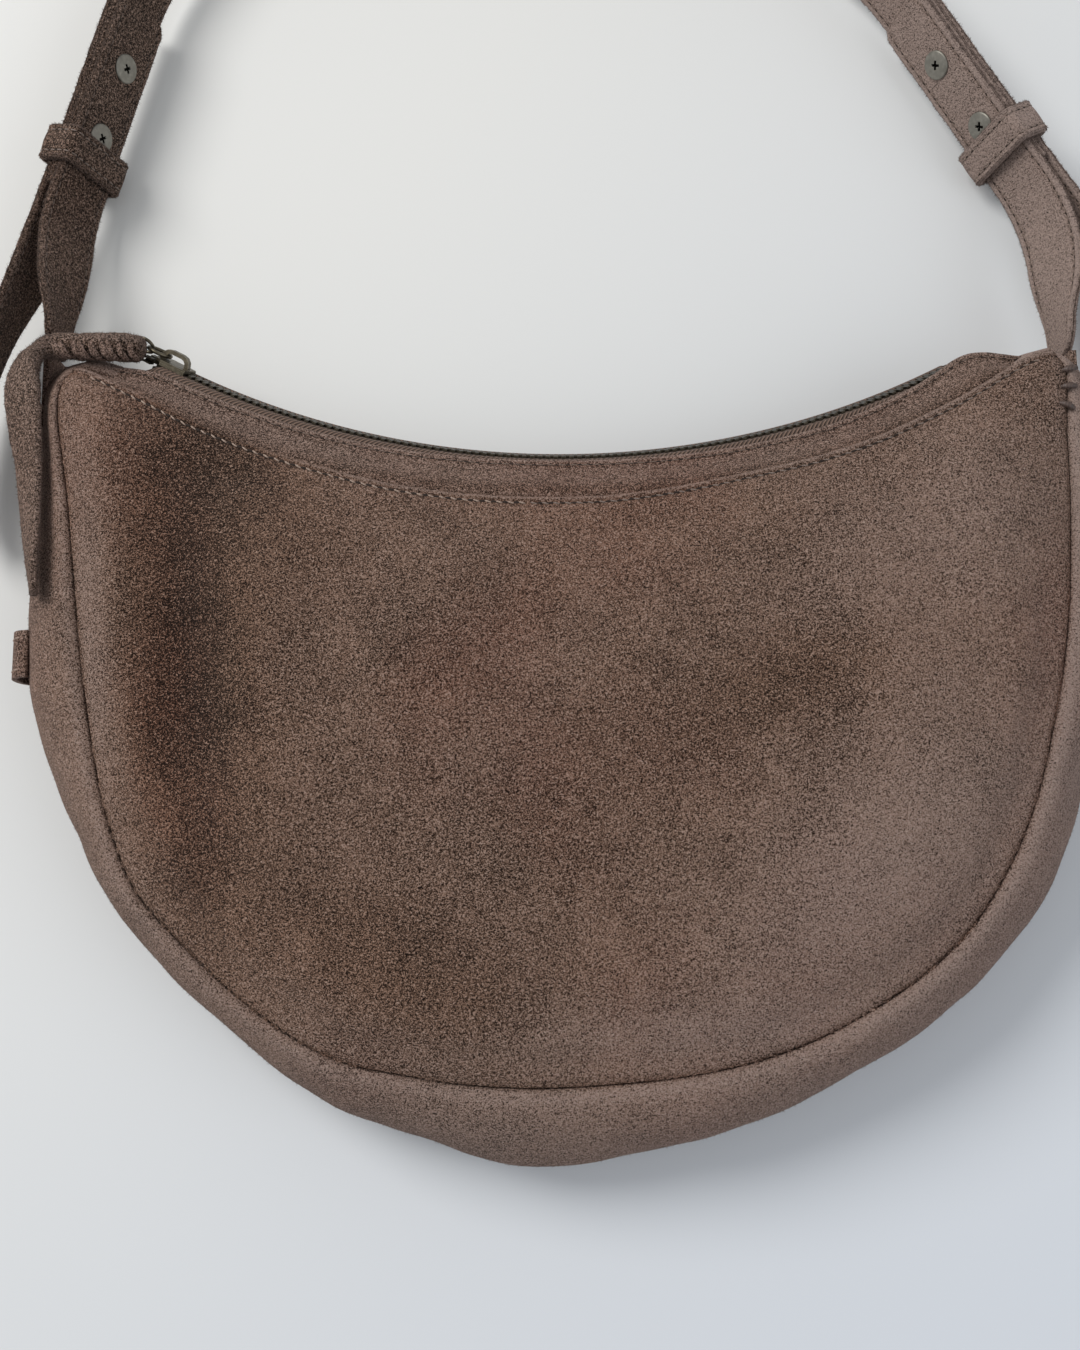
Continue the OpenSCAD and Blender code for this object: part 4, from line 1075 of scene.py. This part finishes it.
def metal(name, dark, bright, rough, width=0.0002, rings=False):
    """A worn metal, dark in its hollows and bright on its corners."""
    material, tree, skin = new_material(name)
    wear = add(tree, "ShaderNodeGroup", {"Width": width}, node_tree=wear_group).outputs
    tone = sum_of(tree, maths(tree, "MULTIPLY", wear["Grime"], 0.35), wear["Worn"], 0.8)
    mixed = mix_of(tree, tone, dark, bright)
    gloss = scaled(tree, tone, 0.0, 1.0, rough + 0.12, rough - 0.08)
    if rings:
        turned = add(tree, "ShaderNodeAttribute", attribute_name="turned").outputs["Fac"]
        groove = maths(tree, "SINE", maths(tree, "MULTIPLY", turned, 2 * math.pi / RING_PITCH))
        # the slot is painted near black, a painted shade in the recess
        slot = maths(tree, "GREATER_THAN", turned, SLOT_MARK / 2)
        mixed = mix_of(tree, slot, mixed, (0.008, 0.007, 0.006))
        normal = bumped(tree, groove, 0.5, 0.00004)
    else:
        normal = bumped(tree, wear["Grime"], 0.25, 0.0001)
    fill(tree, skin, {"Base Color": mixed, "Normal": normal, "Roughness": gloss, "Metallic": 1.0})
    return material


old_brass = metal("antique brass, slider and rings", (0.05, 0.042, 0.03),
                  (0.46, 0.40, 0.29), 0.34)
tooth_brass = metal("antique brass, teeth", (0.028, 0.023, 0.017), (0.20, 0.17, 0.125), 0.42,
                    width=0.00012)
nickel = metal("turned nickel, screws", (0.20, 0.19, 0.165), (0.50, 0.48, 0.42), 0.42,
               rings=True)
for brass, nodes in ((old_brass, ("slider_body", "pull_ring", "pull_link")),
                     (tooth_brass, ("zip_teeth_front", "zip_teeth_back", "zip_top_stops",
                                    "zip_bottom_stop"))):
    for node in nodes:
        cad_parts[node].data.materials.clear()
        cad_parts[node].data.materials.append(brass)
    print(brass.name, "on", *nodes)

# %% [markdown]
# ## Straps
# Each strap is two layers of suede sewn back to back. Its section is drawn once: soft round
# edges, a slit where the two layers meet, and a sunk channel for each row of stitches. A strap
# is that section carried along a path of frames, which say where the strap is, which way it
# runs, which way its width points and which way its face looks. The paths are those of the
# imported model, so the pieces stay on their solids.

# %% Strap paths
STRAP_W, STRAP_T = 22.0, 2.6
ROOT = (165.0, 138.6, 23.0)
RISE = {-1: 32.0, 1: 24.0}
BEND = {-1: 16.0, 1: 32.0}
BEND_R, RUN_L, RUN_Z, RUN_TILT = 60.0, 71.0, 17.5, 65.0
# how far the strap stands on edge, in degrees, at places along each side
TILT_AT = {-1: ((0, 8, 18, 32, 46, 58, 68), (90, 78, 62, 56, 58, 62, 65)),
           1: ((0, 8, 18, 34, 50, 62, 74), (90, 78, 60, 54, 58, 62, 65))}
ARCH_REACH, SCREW_END, SCREW_PITCH, KEEPER_GAP = 108.0, 22.5, 26.5, 8.7
TAIL_L, TAIL_STEPS, TAIL_SWING, TAIL_BACK = 120.0, 12, 10.0, 12.0
UP = np.array([0, 0, 1.0])


def run_start(side):
    """Where a strap has turned and runs straight, in millimetres from its root."""
    return RISE[side] + BEND_R * math.radians(BEND[side])


def base_end(side):
    """Where a strap base ends."""
    return run_start(side) + RUN_L


def tilted(inward, tilt):
    """The strap's across and out, for a tilt in degrees from flat to on edge."""
    t = math.radians(tilt)
    return -inward * math.cos(t) + UP * math.sin(t), inward * math.sin(t) + UP * math.cos(t)


def frame_of(place, side, turn, tilt):
    """[place, along, across, out] for a strap turned in plan and tilted from flat."""
    a = math.radians(turn)
    along = np.array([-side * math.sin(a), math.cos(a), 0])
    inward = np.array([-side * math.cos(a), -math.sin(a), 0])
    return np.array(place, float), along, *tilted(inward, tilt)


def strap_frame(side, s):
    """The frame of a strap at so many millimetres from its root."""
    turn = min(BEND[side], max(0.0, math.degrees((s - RISE[side]) / BEND_R)))
    a = math.radians(turn)
    straight = max(0.0, s - run_start(side))
    x = side * (ROOT[0] - BEND_R * (1 - math.cos(a)) - straight * math.sin(a))
    y = ROOT[1] + min(s, RISE[side]) + BEND_R * math.sin(a) + straight * math.cos(a)
    z = ROOT[2] + (RUN_Z - ROOT[2]) * eased(s / run_start(side))
    near = np.linspace(s - 6, s + 6, 7)
    return frame_of((x, y, z), side, turn, float(np.interp(near, *TILT_AT[side]).mean()))


def arch_frames(count):
    """Frames along the arch from the left strap's end to the right one's."""
    l, r = strap_frame(-1, base_end(-1) - 1), strap_frame(1, base_end(1) - 1)
    p = [l[0], l[0] + l[1] * ARCH_REACH, r[0] + r[1] * ARCH_REACH, r[0]]
    made = []
    for t in np.linspace(0, 1, count):
        c = ((1 - t) ** 3 * p[0] + 3 * (1 - t) ** 2 * t * p[1]
             + 3 * (1 - t) * t * t * p[2] + t ** 3 * p[3])
        w = ((1 - t) ** 2 * (p[1] - p[0]) + 2 * (1 - t) * t * (p[2] - p[1])
             + t * t * (p[3] - p[2]))
        w = unit(w)
        made.append((c, w, *tilted(np.array([w[1], -w[0], 0]), RUN_TILT)))
    return made


def tail_frames(side):
    """Frames down the free tail, from the keeper side to its tip."""
    heading = lambda k: (BEND[side] + TAIL_SWING * math.sin(math.pi * k)
                         - (BEND[side] + TAIL_BACK) * k * k)
    places = [strap_frame(side, run_start(side))[0]]
    drop = (ROOT[2] - STRAP_W / 4 - RUN_Z) / TAIL_L
    for i in range(1, TAIL_STEPS + 1):
        a = math.radians(heading((i - 0.5) / TAIL_STEPS))
        places.append(places[-1] + TAIL_L / TAIL_STEPS
                      * np.array([side * math.sin(a), -math.cos(a), drop]))
    line = smooth_line(places, TAIL_STEPS * 8 + 1)
    first = float(np.interp(run_start(side), *TILT_AT[side]))
    return [frame_of(place, side, heading(k), first + (90 - first) * eased(k * 2))
            for k, place in zip(np.linspace(0, 1, len(line)), line)]


print("strap bases", [round(base_end(side)) for side in (-1, 1)], "mm from the roots")

# %% [markdown]
# The section is a list of pairs, across the strap and out of it, with its mask beside it. Its
# edges are brushed pale, and its slit and stitch channels are painted dark, a painted shade
# between the layers and in the grooves. Cut suede is never quite even, so a fine ripple moves
# every point of a strap a tenth or two of a millimetre.

# %% Strap section
FACE_SHARES = (-1.0, -0.93, -0.87, -0.82, -0.79, -0.76, -0.7, -0.5, -0.2, 0.0,
               0.2, 0.5, 0.7, 0.76, 0.79, 0.82, 0.87, 0.93, 1.0)
STITCH_IN, STITCH_SUNK = 2.3, 0.18
# the points of the section that lie on its two edges
EDGES = list(range(18, 27)) + list(range(44, 52)) + [0]


def strap_section(width, thick):
    """The section as (across, out) pairs and its mask of wear and painted shade, starting at one edge.
    """
    half, edge = width / 2, 0.55
    face = []
    for share in FACE_SHARES:
        a = share * (half - edge)
        sunk = 0.26 * bell(abs(a), half - STITCH_IN, 0.55)
        sunk += 0.28 * max(0.0, (abs(share) - 0.9) / 0.1) ** 2
        face.append((a, -sunk))
    side = [(half - 0.12, -0.62), (half, -0.95), (half - 0.1, -1.18),
            (half - 0.55, -thick / 2), (half - 0.1, -thick + 1.18), (half, -thick + 0.95),
            (half - 0.12, -thick + 0.62)]
    low = [(a, -thick - b) for a, b in face[::-1]]
    other = [(-a, -thick - b) for a, b in side]
    ring = face + side + low + other
    # pale on the worn edges; dark in the stitch channels and the slit, a painted shade
    wear_shade_and_sheen = ([0.5 if abs(s) > 0.9 else (-0.25 if 0.75 < abs(s) < 0.83 else 0.0)
            for s in FACE_SHARES] + [0.2, 0.1, -0.4, -1.4, -0.4, 0.1, 0.2])
    return np.array(ring), np.array(wear_shade_and_sheen + wear_shade_and_sheen)


def side_sheen(rings):
    """Darker on the left strap and paler on the right one: a painted sheen of the nap seen against the
    light.
    """
    return 0.2 + 0.95 * np.tanh(rings[..., 0] / 60)


def strap_rings(frames, top, widths):
    """Rings of the section along frames, with their mask of wear, painted shade and painted sheen."""
    rings, wear_and_shade_rows = [], []
    for (place, _, across, out), width in zip(frames, widths):
        section, wear_shade_and_sheen = strap_section(width, STRAP_T)
        rings.append([place + across * a + out * (top + b) for a, b in section])
        wear_and_shade_rows.append(wear_shade_and_sheen)
    rings = np.array(rings)
    ripple = wander(rings, 3.2, 0.2, 6.1) + wander(rings, 0.9, 0.12, 2.7)
    rings = rings + outs_of(rings) * ripple.reshape(rings.shape[:2])[..., None]
    return rings, np.array(wear_and_shade_rows) + side_sheen(rings)


def strap_seam_lines(frames, top, back):
    """The rows of stitches of a strap: two on its face, and two behind if they show."""
    lines = []
    for side in (-1, 1):
        a = side * (STRAP_W / 2 - STITCH_IN)
        lines.append(([p + x * a + o * (top - STITCH_SUNK) for p, _, x, o in frames],
                      [o for _, _, _, o in frames]))
        if back:
            lines.append(([p + x * a + o * (top - STRAP_T + STITCH_SUNK) for p, _, x, o in frames],
                          [-o for _, _, _, o in frames]))
    return lines


def strap(node, frames, sewn, top, widths, fibres, seed, back=True):
    """One strap in its three pieces: suede, loose fibres on its edges, and stitches."""
    rings, wear_shade_and_sheen = strap_rings(frames, top, widths)
    tube_of(node + "_suede", rings, "strap", strap_suede, [node], wear_shade_and_sheen)
    # the loose fibres are paler on the right, the same painted sheen
    fuzz(node + "_fuzz", rings[:, EDGES], outs_of(rings)[:, EDGES], "strap", fibres, seed,
         wear_shade_and_sheen=0.35 if rings[..., 0].mean() > 0 else 0.1)
    seam_of(node + "_stitches", strap_seam_lines(sewn, top, back), "strap", suede_thread,
            pitch=3.3, length=2.3, thick=0.46)
    print(node, len(frames), "rings")


# %% [markdown]
# The strap base starts in the bag's corner with a round end, so that it can turn there, rises
# on edge, twists towards flat and runs on past the keeper and the two screws. The shoulder
# strap lies behind it, and behind that comes the outer strap, whose free tail swings out past
# the keeper and ends in a round tip.

# %% Straps
LAYER = (STRAP_T / 2, STRAP_T / 2 - STRAP_T, STRAP_T / 2 - 2 * STRAP_T)
ROUND = STRAP_W / 2
# the last millimetres of a base, and the share of its width that it loses over them
TIP_L, TIP_SHARE = 5, 0.28


def base_of(side, node):
    """The strap base, whose round end lies behind the root."""
    end = base_end(side)
    steps = np.concatenate([-ROUND * np.cos(np.linspace(0.12, 1, 9) * math.pi / 2),
                            np.linspace(0.6, end - TIP_L, 88),
                            end - TIP_L + TIP_L * np.sin(np.linspace(0.12, 0.97, 8) * math.pi / 2)])
    frames, widths = [], []
    for s in steps:
        p, w, x, o = strap_frame(side, max(s, 0.0))
        frames.append((p + w * min(s, 0.0), w, x, o))
        round_in = math.sqrt(max(0.0, ROUND ** 2 - min(s, 0) ** 2)) / ROUND
        past = max(0.0, s - end + TIP_L) / TIP_L
        widths.append(STRAP_W * round_in * (1 - TIP_SHARE * (1 - math.sqrt(max(0.0, 1 - past ** 2)))))
    sewn = [f for f, s in zip(frames, steps) if 8 < s < end - 3]
    strap(node, frames, sewn, LAYER[0], widths, 5500, 11, back=False)


def outer_of(side, node):
    """The outer strap: its free tail with a round tip, and its run through the keeper."""
    tail = tail_frames(side)[::-1]
    run = [strap_frame(side, s)
           for s in np.linspace(run_start(side) + 1, base_end(side) - 0.2, 60)]
    widths = [STRAP_W * math.sqrt(max(0.02, 1 - (max(0.0, k - TAIL_L + ROUND) / ROUND) ** 2))
              for k in np.linspace(TAIL_L, 0, len(tail))] + [STRAP_W] * len(run)
    frames = tail + run
    strap(node, frames, frames[9:-3], LAYER[2], widths, 6500, 12)


for side, name in ((-1, "left"), (1, "right")):
    base_of(side, f"strap_base_{name}")
    outer_of(side, f"strap_tail_{name}")
left_run = [strap_frame(-1, s) for s in np.linspace(run_start(-1), base_end(-1) - 1.4, 58)]
right_run = [strap_frame(1, s) for s in np.linspace(base_end(1) - 1.4, run_start(1), 58)]
# the right side's frames run the other way along the arch
frames = left_run + arch_frames(260)[1:-1] + [(p, -w, x, o) for p, w, x, o in right_run]
strap("shoulder_strap", frames, frames[52:-52], LAYER[1], [STRAP_W] * len(frames), 11000, 13)

# %% [markdown]
# The keepers are short loops of one thick strip, with stitches near both edges. Each is drawn
# as a rounded frame round the three straps, in the place of its solid, and rides on its own
# body, because it slides.

# %% Keepers
KEEPER_L, KEEPER_T, HEAD_T, SEAT = 12.5, 2.4, 1.0, 0.3
KEEPER_POINTS, ROW_AT = 88, 0.3
# the strip's section: share of its length, and share of its thickness
KEEPER_SECTION = [(-0.5, 0.25), (-0.47, 0.8), (-0.42, 1.0), (-0.36, 0.98), (-0.3, 0.86),
                  (-0.24, 0.98), (-0.12, 1.03), (0, 1.05), (0.12, 1.03), (0.24, 0.98),
                  (0.3, 0.86), (0.36, 0.98), (0.42, 1.0), (0.47, 0.8), (0.5, 0.25),
                  (0.46, 0.02), (0.2, 0.0), (-0.2, 0.0), (-0.46, 0.02)]
KEEPER_EDGES = [0, 1, 2, 12, 13, 14, 15]


def screw_place(side, which):
    """How far up the strap a screw sits: 0 by the keeper, 1 by the end of the base."""
    outer = base_end(side) - SCREW_END
    return outer if which else outer - SCREW_PITCH


def keeper_path(half_w, half_h, corner):
    """A rounded rectangle as even points of (across, out)."""
    corners = []
    for cx, cy, a0 in ((1, 1, 0), (-1, 1, 90), (-1, -1, 180), (1, -1, 270)):
        for a in np.radians(a0 + np.linspace(0, 90, 9)):
            corners.append((cx * (half_w - corner) + corner * math.cos(a),
                            cy * (half_h - corner) + corner * math.sin(a)))
    return even_steps(np.array(corners + corners[:1]), KEEPER_POINTS + 1)[:-1]


def keeper(side, node, body):
    """One keeper: suede, loose fibres, and two rows of stitches."""
    place, along, across, out = strap_frame(side, screw_place(side, 0) - KEEPER_GAP)
    middle = place + out * (STRAP_T / 2 - 1.5 * STRAP_T)
    gap_w, gap_h = STRAP_W / 2 + SEAT, 1.5 * STRAP_T + HEAD_T + SEAT
    inner = keeper_path(gap_w, gap_h, 1.2)
    outer = keeper_path(gap_w + KEEPER_T, gap_h + KEEPER_T, 3.2)

    def at(k, l, t):
        a, b = inner[k] + (outer[k] - inner[k]) * t
        return middle + along * l * KEEPER_L + across * a + out * b

    count, columns = KEEPER_POINTS, len(KEEPER_SECTION)
    rings = np.array([[at(k, l, t) for l, t in KEEPER_SECTION] for k in range(count)])
    rings += wander(rings, 2.4, 0.22, 9.0 + side).reshape(rings.shape[:2])[..., None] * out
    faces = grid_faces(count, columns, around=True)
    for j in range(columns):
        a, b = (count - 1) * columns + j, (count - 1) * columns + (j + 1) % columns
        faces.append((a, b, (j + 1) % columns, j))
    piece = make_piece(node + "_suede", rings.reshape(-1, 3), faces, body,
                       strap_suede, [node])
    # the keeper's mask: pale on its worn edges, dark in its stitch rows, a painted shade in those
    # grooves, with the same painted sheen by side as the straps
    wear_shade_and_sheen = [0.4 if abs(l) > 0.4 and t > 0.5 else (-0.3 if abs(abs(l) - ROW_AT) < 0.02 else 0.05)
           for l, t in KEEPER_SECTION]
    paint_number(piece, (np.array(wear_shade_and_sheen) + side_sheen(rings)).reshape(-1))
    fuzz(node + "_fuzz", rings[:, KEEPER_EDGES], outs_of(rings)[:, KEEPER_EDGES], body, 2800,
         seed=14, long=1.0)
    step = outer - np.roll(outer, -1, 0)
    ups = across * -step[:, 1:] + out * step[:, :1]
    lines = []
    for l in (-ROW_AT, ROW_AT):
        rim = np.array([at(k, l, 0.92) for k in range(count)])
        turned = ups if ups[0] @ (rim[0] - middle) > 0 else -ups
        lines.append((np.vstack([rim, rim[:1]]), np.vstack([turned, turned[:1]])))
    seam_of(node + "_stitches", lines, body, dull_thread, pitch=3.0, length=2.1, thick=0.5)
    print(node, "rides on", body)


keeper(-1, "keeper_left", "keeper_l")
keeper(1, "keeper_right", "keeper_r")

# %% [markdown]
# ## Screws
# A strap screw has a thin wide head with a cross slot. The head is turned, so its section is
# spun round the axis: a nearly flat dome with a small bevel. The slot is pressed in where the
# head is spun finely enough to take it. Each point keeps its distance from the axis, in an
# attribute named "turned", and the nickel cuts its rings from that. The points in the slot have
# a far larger number there, which the nickel paints near black, a painted shade in the slot.

# %% Screw heads
HEAD_R, BEVEL, SPUN = 4.85, 0.35, 96
SLOT_L, SLOT_W, SLOT_DEEP, DIAGONAL = 3.0, 0.8, 0.9, 0.7071
HEAD_RADII = [0.02, *np.linspace(0.18, 1.9, 16), *np.linspace(2.1, 4.4, 12),
              4.6, 4.75, 4.83, HEAD_R, HEAD_R]


def head_grid(place, x, y, z, top):
    """A spun head: points, faces and turned numbers, with the cross sunk into it."""
    points, turned = [], []
    for i, r in enumerate(HEAD_RADII):
        for a in np.linspace(0, 2 * math.pi, SPUN, endpoint=False):
            u, v = r * math.cos(a), r * math.sin(a)
            h = HEAD_T - 0.25 * (r / HEAD_R) ** 2 - BEVEL * max(0.0, (r - 4.5) / BEVEL) ** 2
            if i == len(HEAD_RADII) - 1:
                h = 0.0
            p, q = abs(u + v) * DIAGONAL, abs(u - v) * DIAGONAL
            arm = min(max(p - SLOT_L / 2, q - SLOT_W / 2), max(q - SLOT_L / 2, p - SLOT_W / 2))
            h -= SLOT_DEEP * min(1.0, max(0.0, 0.5 - arm / 0.16))
            points.append(place + x * u + y * v + z * (top + h))
            turned.append(r + (SLOT_MARK if arm < 0.04 else 0.0))
    return points, tube_faces(len(HEAD_RADII), SPUN), turned


for name, node in (("screw_heads", "strap_screws"), ("post_heads", "strap_posts")):
    points, faces, turned = [], [], []
    for side, which in ((-1, 0), (-1, 1), (1, 0), (1, 1)):
        place, along, _, out = strap_frame(side, screw_place(side, which))
        y = np.cross(out, along)
        made = (head_grid(place, along, y, out, LAYER[0]) if node == "strap_screws" else
                head_grid(place, along, -y, -out, 2.5 * STRAP_T))
        faces += [tuple(i + len(points) for i in face) for face in made[1]]
        points += made[0]
        turned += made[2]
    paint_number(make_piece(name, points, faces, "strap", nickel, [node]), turned, "turned")
    print(name, len(points), "points")

# %% [markdown]
# ## The pull
# The pull is one long strip of suede. Near the zip it is rolled round the link and whip-stitched
# into a thick cord. Past the corner it opens flat, falls down the side of the gusset and twists
# until it is seen edge on. Its rows carry a place, a width, a thickness, a tilt of the width and
# a heading, and a smooth curve through the rows gives the rest.

# %% Pull tab
# rows: x, y, z, width, thickness, tilt of the width, heading in plan, both in degrees
PULL_ROWS = [
    (-134.0, 128.2, 31.2, 3.6, 3.6, 90, -8),
    (-134.6, 128.0, 31.7, 6.6, 6.6, 90, -6),
    (-136.2, 127.8, 32.8, 8.6, 8.6, 90, -4),
    (-140.5, 127.2, 35.2, 9.2, 9.2, 90, -2),
    (-147.0, 126.5, 37.4, 9.0, 9.0, 88, 0),
    (-154.0, 126.3, 38.4, 8.8, 8.8, 86, 2),
    (-160.5, 126.2, 39.0, 9.6, 7.8, 78, 8),
    (-165.8, 124.4, 39.3, 11.4, 5.6, 56, 34),
    (-169.2, 119.4, 39.2, 13.4, 4.0, 36, 60),
    (-170.3, 111.6, 39.0, 14.8, 3.4, 28, 79),
    (-168.9, 98.7, 39.0, 14.0, 3.2, 33, 90),
    (-167.0, 87.0, 39.4, 13.0, 3.1, 42, 93),
    (-165.6, 72.0, 40.0, 12.0, 3.0, 49, 93),
    (-164.4, 58.0, 40.2, 10.6, 2.9, 60, 93),
    (-163.0, 45.5, 40.6, 8.0, 2.6, 74, 93),
]
pull_rows = smooth_line(PULL_ROWS, 120)
PULL_SIDES = 28


def pull_ring_at(row):
    """A row's ring, round where it is rolled and flat where it is open, and its directions."""
    x, y, z, width, thick, tilt, heading = row
    a, t = math.radians(heading), math.radians(tilt)
    ahead = np.array([-math.cos(a), -math.sin(a), 0])
    level = np.array([math.sin(a), -math.cos(a), 0])
    across = level * math.cos(t) + UP * math.sin(t)
    out = np.cross(ahead, across)
    power = 1 - 0.55 * (1 - min(1.0, thick / width))
    ring = []
    for k in range(PULL_SIDES):
        b = 2 * math.pi * (k + 0.5) / PULL_SIDES
        c, s = math.cos(b), math.sin(b)
        ring.append(np.array([x, y, z]) + across * width / 2 * math.copysign(abs(c) ** power, c)
                    + out * thick / 2 * math.copysign(abs(s) ** power, s))
    return ring, ahead


pull_rings, pull_ways = (np.array(part) for part in zip(*map(pull_ring_at, pull_rows)))
centres = pull_rows[:, :3]
ripple = wander(pull_rings, 2.6, 0.5, 4.2) + wander(pull_rings, 0.9, 0.16, 1.2)
away = unit(pull_rings - centres[:, None])
pull_rings = pull_rings + away * ripple.reshape(pull_rings.shape[:2])[..., None]
# the pull's mask: pale on its rubbed edges, and dark on the face of the roll under the whip stitches, a
# painted shade between the stitches and the roll
pull_wear_and_shade = np.tile(0.25 * np.abs(np.cos(2 * np.pi * np.arange(PULL_SIDES) / PULL_SIDES)) ** 6,
                   (len(pull_rows), 1))
below = (away @ np.array([0, -0.6, 0.8])) * (centres[:, None, 0] > -160)
pull_wear_and_shade -= 0.9 * np.clip(below * 3 - 1.8, 0, 1)
tube_of("pull_tab_suede", pull_rings, "pull", strap_suede, ["pull_tab"], pull_wear_and_shade)
fuzz("pull_tab_fuzz", pull_rings, outs_of(pull_rings), "pull", 7000, seed=15)
print("pull", round(float(run_along(centres)[-1])), "mm")

# %% [markdown]
# The whip stitches go over the two edges of the roll, one slanting loop after another. Each is a
# fat bead laid across the lower front of the roll. Three more, of dark thread, hold the bag's
# corner at the right.

# %% Whip stitches
WHIP_PITCH, WHIP_ABOVE = 2.9, 0.35
run = run_along(centres)
rows = [int(np.argmin(np.abs(run - at))) for at in np.arange(3.5, 29.0, WHIP_PITCH)]
ahead = pull_ways[rows]
down = np.array([0, -0.75, 1.0])
down = unit(down - ahead * (ahead @ down)[:, None])
spots = centres[rows] + down * (pull_rows[rows, 4:5] / 2 + WHIP_ABOVE)
points, faces = beads(spots, np.cross(ahead, down) + ahead * 0.5, down, 6.8, 2.5, bow=0.5)
whip = make_piece("pull_whip_stitches", points, faces, "pull", band_suede)
paint_number(whip, np.full(len(points), 0.2))

CORNER_STITCHES = [(160.9, 117.8, 42.0), (160.3, 111.9, 42.4), (159.2, 105.4, 42.6)]
CORNER_WAYS = [(1, 0.25, -0.3), (1, 0.1, -0.3), (1, -0.35, -0.3)]
points, faces = beads(np.array(CORNER_STITCHES), np.array(CORNER_WAYS),
                      np.tile([0.15, 0, 1.0], (3, 1)), 6.4, 2.1, bow=0.4)
make_piece("corner_whip_stitches", points, faces, "bag", dark_thread)
print("whip stitches", len(spots), "on the pull,", len(CORNER_STITCHES), "at the corner")

# %% [markdown]
# ## Side loop and strap roots
# A small loop of folded suede sits on the left of the gusset, with two rows of stitches. The
# strap roots are the two tongues of suede sewn into the corners, from which the straps turn.

# %% Side loop
LOOP_Y, LOOP_L, LOOP_T = 29.0, 15.0, 1.8
LOOP_POINTS, LOOP_ROWS = 34, 13
station = int(np.argmin(np.abs(gusset_grid[:AROUND // 2, 18, 1] - LOOP_Y)))
side_x = float(gusset_grid[station, :, 0].min())
loop_path = smooth_line([(1.2, 28.6), (-2.6, 26.8), (-5.0, 22.6), (-5.6, 18), (-5.0, 13.2),
                         (-2.6, 9.2), (1.4, 7.6)], LOOP_POINTS)
turn = unit(np.gradient(loop_path, axis=0))
inner = loop_path + np.stack([-turn[:, 1], turn[:, 0]], 1) * LOOP_T
across = np.linspace(-0.5, 0.5, LOOP_ROWS)
loop_rings = [[(side_x + a, LOOP_Y + y * LOOP_L, z) for a, z in np.vstack([loop_path, inner[::-1]])]
              for y in across]
tube_of("side_loop_suede", loop_rings, "bag", band_suede, ["side_loop"],
        np.tile(0.35 * (np.abs(across) > 0.45)[:, None], (1, 2 * LOOP_POINTS)))
facing = np.stack([turn[:, 1], 0 * turn[:, 0], -turn[:, 0]], 1)[3:-3]
facing *= -1 if turn[LOOP_POINTS // 2, 1] > 0 else 1
lines = [([(side_x + a, LOOP_Y + y * LOOP_L, z) for a, z in loop_path[3:-3]], facing)
         for y in (-0.34, 0.34)]
seam_of("side_loop_stitches", lines, "bag", glinting_thread, pitch=3.0, length=2.2, thick=0.5)
print("side loop", LOOP_L, "mm wide")

# %% [markdown]
# A root is a short straight piece of the straps' own section, on edge in the corner.

# %% Strap roots
section, _ = strap_section(STRAP_W - 0.6, STRAP_T)
deep = section[:, 1].mean()
for side, name in ((-1, "left"), (1, "right")):
    rows = [[(side * (ROOT[0] - b + deep), y, ROOT[2] + a) for a, b in section]
            for y in np.linspace(101.5, 127.0, 12)]
    tube_of(f"strap_root_{name}_suede", rows, "bag", band_suede, [f"strap_root_{name}"])
print("roots at", ROOT[0], "mm on both sides")

# %% [markdown]
# ## Table and light
# The table is a smooth white board. Its faint cool or warm tint is painted light: the colour of
# the room's light on it, painted into the board. The light is a window high on the left, made
# from one large soft lamp, with a weaker one opposite and an even sky.

# %% Table
# half the table's width, and its height, in metres
HALF, LOW = 3.0, -0.0004
table_mesh = bpy.data.meshes.new("table")
table_mesh.from_pydata([(-HALF, -HALF, LOW), (HALF, -HALF, LOW), (HALF, HALF, LOW),
                        (-HALF, HALF, LOW)], [], [(0, 1, 2, 3)])
table = bpy.data.objects.new("table", table_mesh)
bpy.context.scene.collection.objects.link(table)
board, tree, skin = new_material("white board")
place = add(tree, "ShaderNodeTexCoord").outputs["Object"]
spot_on = add(tree, "ShaderNodeSeparateXYZ", {0: place})
# painted light: the board is tinted cooler towards the lower right and warmer towards the upper left, as
# the room's lamp and the window tint it
room_light_tint = sum_of(tree, spot_on.outputs["X"], spot_on.outputs["Y"], -1.0)
room_light_tint = scaled(tree, sum_of(tree, room_light_tint, noise_of(tree, place, 2.2, 1.0), 0.3), -0.15, 0.5)
tint = mix_of(tree, room_light_tint, (0.70, 0.70, 0.682), (0.635, 0.668, 0.715))
fill(tree, skin, {"Base Color": tint, "Roughness": 0.55, "Specular IOR Level": 0.3})
table_mesh.materials.append(board)
print("table", 2 * HALF, "m wide")

# %% [markdown]
# The window's lamp is over a metre wide, so the bag's shadow has a soft edge. The room's lamp
# and the sky only keep the shadow side from going black.

# %% Lamps


def lamp(name, place, aim, width, watts, colour):
    """A round lamp that looks at a place, all in metres."""
    data = bpy.data.lights.new(name, "AREA")
    data.shape = "DISK"
    data.size = width
    data.energy = watts
    data.color = colour
    made = bpy.data.objects.new(name, data)
    made.location = place
    made.rotation_euler = (Vector(place) - Vector(aim)).to_track_quat("Z", "Y").to_euler()
    bpy.context.scene.collection.objects.link(made)
    print(name, watts, "W")


lamp("window", (-1.3, 0.9, 1.5), (0, 0.05, 0), 1.1, 34.0, (1.0, 0.985, 0.96))
lamp("room", (1.6, -0.6, 1.4), (0, 0, 0), 1.6, 9.0, (0.93, 0.96, 1.0))
world = bpy.data.worlds.new("room light")
world.use_nodes = True
fill(world.node_tree, world.node_tree.nodes["Background"],
     {"Color": (0.95, 0.97, 1.0, 1), "Strength": 0.5})
bpy.context.scene.world = world
bpy.context.scene.view_settings.view_transform = "Standard"
